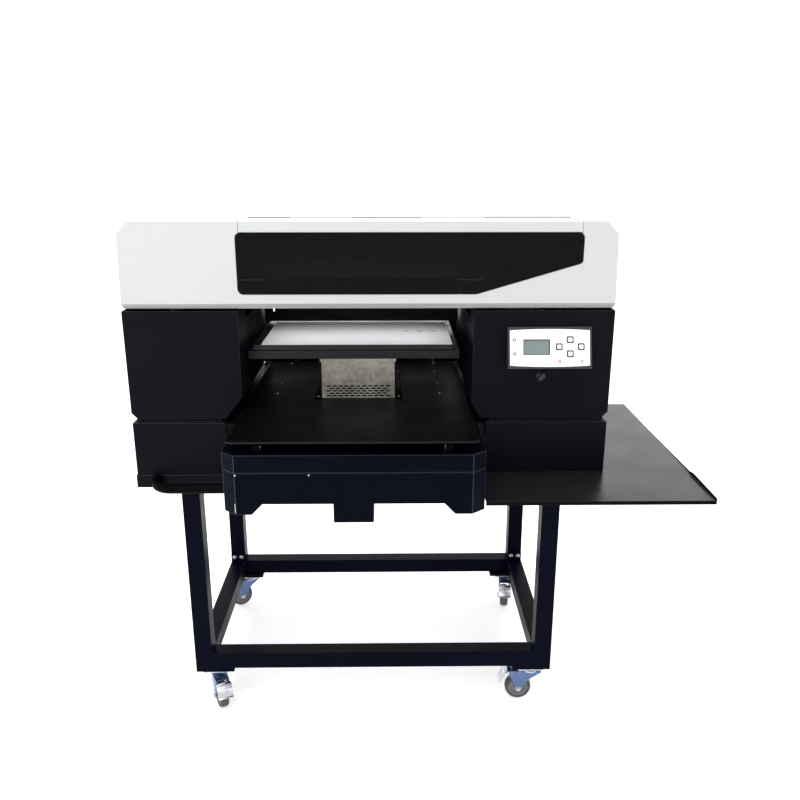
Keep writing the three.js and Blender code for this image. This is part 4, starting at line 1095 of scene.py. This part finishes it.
# ---------------------------------------------------------------- print gantry
def gantry_details():
    """Belt on the beam, fins and curing lamps on the carriage, nozzle plate under the head."""
    beam_lo, beam_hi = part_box("gantry_beam")
    lo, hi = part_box("print_carriage")
    belt = Build()
    belt.box((beam_lo.x + 8 * MM, hi.y - 2 * MM, beam_hi.z - 13 * MM),
             (beam_hi.x - 12 * MM, hi.y - 0.6 * MM, beam_hi.z - 4 * MM))
    belt.piece("carriage_belt", "machine", SEAL_RUBBER, "dark_plastic")
    fins = Build()
    count = 14
    margin = 12 * MM
    for i in range(count):
        x = lo.x + margin + i * (hi.x - lo.x - 2 * margin) / (count - 1)
        fins.box((x - 1.2 * MM, lo.y - 2.5 * MM, lo.z + 52 * MM),
                 (x + 1.2 * MM, lo.y + 2 * MM, hi.z - margin), bevel=0.5 * MM)
    fins.piece("carriage_fins", "carriage", GREY_PLASTIC, "dark_plastic")
    lamp = Build()
    edge = 8 * MM
    far = 26 * MM
    for x0, x1 in ((lo.x + edge, lo.x + far), (hi.x - far, hi.x - edge)):
        lamp.box((x0, lo.y + 20 * MM, lo.z - 16 * MM), (x1, hi.y - 20 * MM, lo.z + 1 * MM), bevel=1.2 * MM)
    lamp.piece("curing_lamps", "carriage", GREY_PLASTIC, "dark_plastic")
    lo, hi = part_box("print_head")
    nozzle = Build()
    nozzle.box((lo.x + 6 * MM, lo.y + 8 * MM, lo.z - 1 * MM), (hi.x - 6 * MM, hi.y - 8 * MM, lo.z + 0.5 * MM),
               bevel=0.4 * MM)
    nozzle.piece("nozzle_plate", "carriage", STEEL, "rail_steel")


def rear_brush():
    """Bristle curtain behind the beam, reaching down to just above the mat."""
    beam_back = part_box("gantry_beam")[1].y - 20 * MM
    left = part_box("upper_housing_left")[1].x + 4 * MM
    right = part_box("upper_housing_right")[0].x - 4 * MM
    mat_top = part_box("media_mat")[1].z
    beam_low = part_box("print_carriage")[0].z
    holder = Build()
    holder.box((left, beam_back + 0.3 * MM, beam_low - 4 * MM),
               (right, beam_back + 5 * MM, beam_low + 16 * MM), bevel=1 * MM)
    holder.piece("brush_holder", "machine", BEAM_METAL, "bare_aluminium")
    # The near-black bristles also stand in for the shade over the mat's rear part: painted shade.
    brush = Build()
    pitch = 2.1 * MM
    count = int((right - left) / pitch)
    for i in range(count):
        x = left + (i + 0.5) * pitch
        sway = 0.5 * MM * math.sin(i * 2.4)
        low = mat_top + 1.6 * MM + 0.7 * MM * math.sin(i * 1.7)
        place = at(x, beam_back + 2.6 * MM + sway, 0)
        brush.box((-1.25 * MM, -0.6 * MM, low), (1.25 * MM, 0.6 * MM, beam_low), place)
    curtain = brush.piece("rear_brush", "machine", BRISTLE, "dark_plastic")
    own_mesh(curtain)


# ---------------------------------------------------------------- camera, floor and light
def camera():
    view = bpy.data.cameras.new("view")
    view.lens = CAMERA_LENS
    view.sensor_width = 36
    made = bpy.data.objects.new("camera", view)
    made.location = CAMERA_PLACE
    made.rotation_euler = (math.radians(90 - CAMERA_PITCH), 0, math.radians(-CAMERA_YAW))
    bpy.context.scene.camera = show(made)


def studio():
    """Pale sweep that rises behind the object, without a visible horizon."""
    finish = Finish("studio_floor", (0.97, 0.97, 0.97), 0.75, specular_ior_level=0.05)
    finish.mottle(0.7, 0.004)
    finish.shader.inputs["Emission Color"].default_value = (1, 1, 1, 1)
    finish.shader.inputs["Emission Strength"].default_value = 0.42
    mesh = bpy.data.meshes.new("floor")
    sweep = bmesh.new()
    radius = 1.6
    back = 2.6
    profile = [(-6.0, 0.0), (back, 0.0)]
    profile += [(back + radius * math.sin(a), radius * (1 - math.cos(a)))
                for a in (math.radians(90 * i / 16) for i in range(1, 17))]
    profile.append((back + radius, 6.0))
    rows = [[sweep.verts.new((x, y, z)) for x in (-8.0, 8.0)] for y, z in profile]
    for low, high in zip(rows, rows[1:]):
        sweep.faces.new((low[0], low[1], high[1], high[0]))
    sweep.to_mesh(mesh)
    sweep.free()
    for polygon in mesh.polygons:
        polygon.use_smooth = True
    mesh.materials.append(finish.material)
    show(bpy.data.objects.new("floor", mesh))


def soft_light(name, place, aim, size, power):
    lamp = bpy.data.lights.new(name, "AREA")
    lamp.shape = "RECTANGLE"
    lamp.size = size[0]
    lamp.size_y = size[1]
    lamp.energy = power
    made = bpy.data.objects.new(name, lamp)
    made.location = place
    made.rotation_euler = (Vector(aim) - Vector(place)).to_track_quat("-Z", "Y").to_euler()
    show(made)
    return lamp


def light():
    world = bpy.data.worlds.new("studio")
    world.use_nodes = True
    backdrop = world.node_tree.nodes["Background"]
    backdrop.inputs["Color"].default_value = (1, 1, 1, 1)
    backdrop.inputs["Strength"].default_value = 1.0
    bpy.context.scene.world = world
    soft_light("overhead", (0.3, -0.4, 3.6), (0, 0, 0.4), (4.0, 3.0), 70)
    soft_light("front", (-1.6, -3.0, 1.9), (0, 0, 0.8), (2.0, 2.0), 26)
    bed_low, bed_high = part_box("media_mat")
    work_spot = ((bed_low.x + bed_high.x) / 2, bed_low.y + 0.07, bed_high.z + 0.11)
    lamp = soft_light("work_lamp", work_spot, (work_spot[0], work_spot[1], 0), (0.42, 0.16), 0.30)
    lamp.spread = math.radians(120)
    bpy.context.scene.view_settings.view_transform = "Standard"


camera()
studio()
light()
dress_all()
for corner in CORNERS:
    caster_plate(corner)
    caster_fork(corner)
    caster_wheel(corner)
    caster_details(corner)
stand_bolts()
push_handle()
front_box_details()
deck_screws()
lift_housing()
bed_details()
rail_details()
panel_details()
turn_knob()
flap_hinge()
housing_details()
rear_details()
gantry_details()
rear_brush()
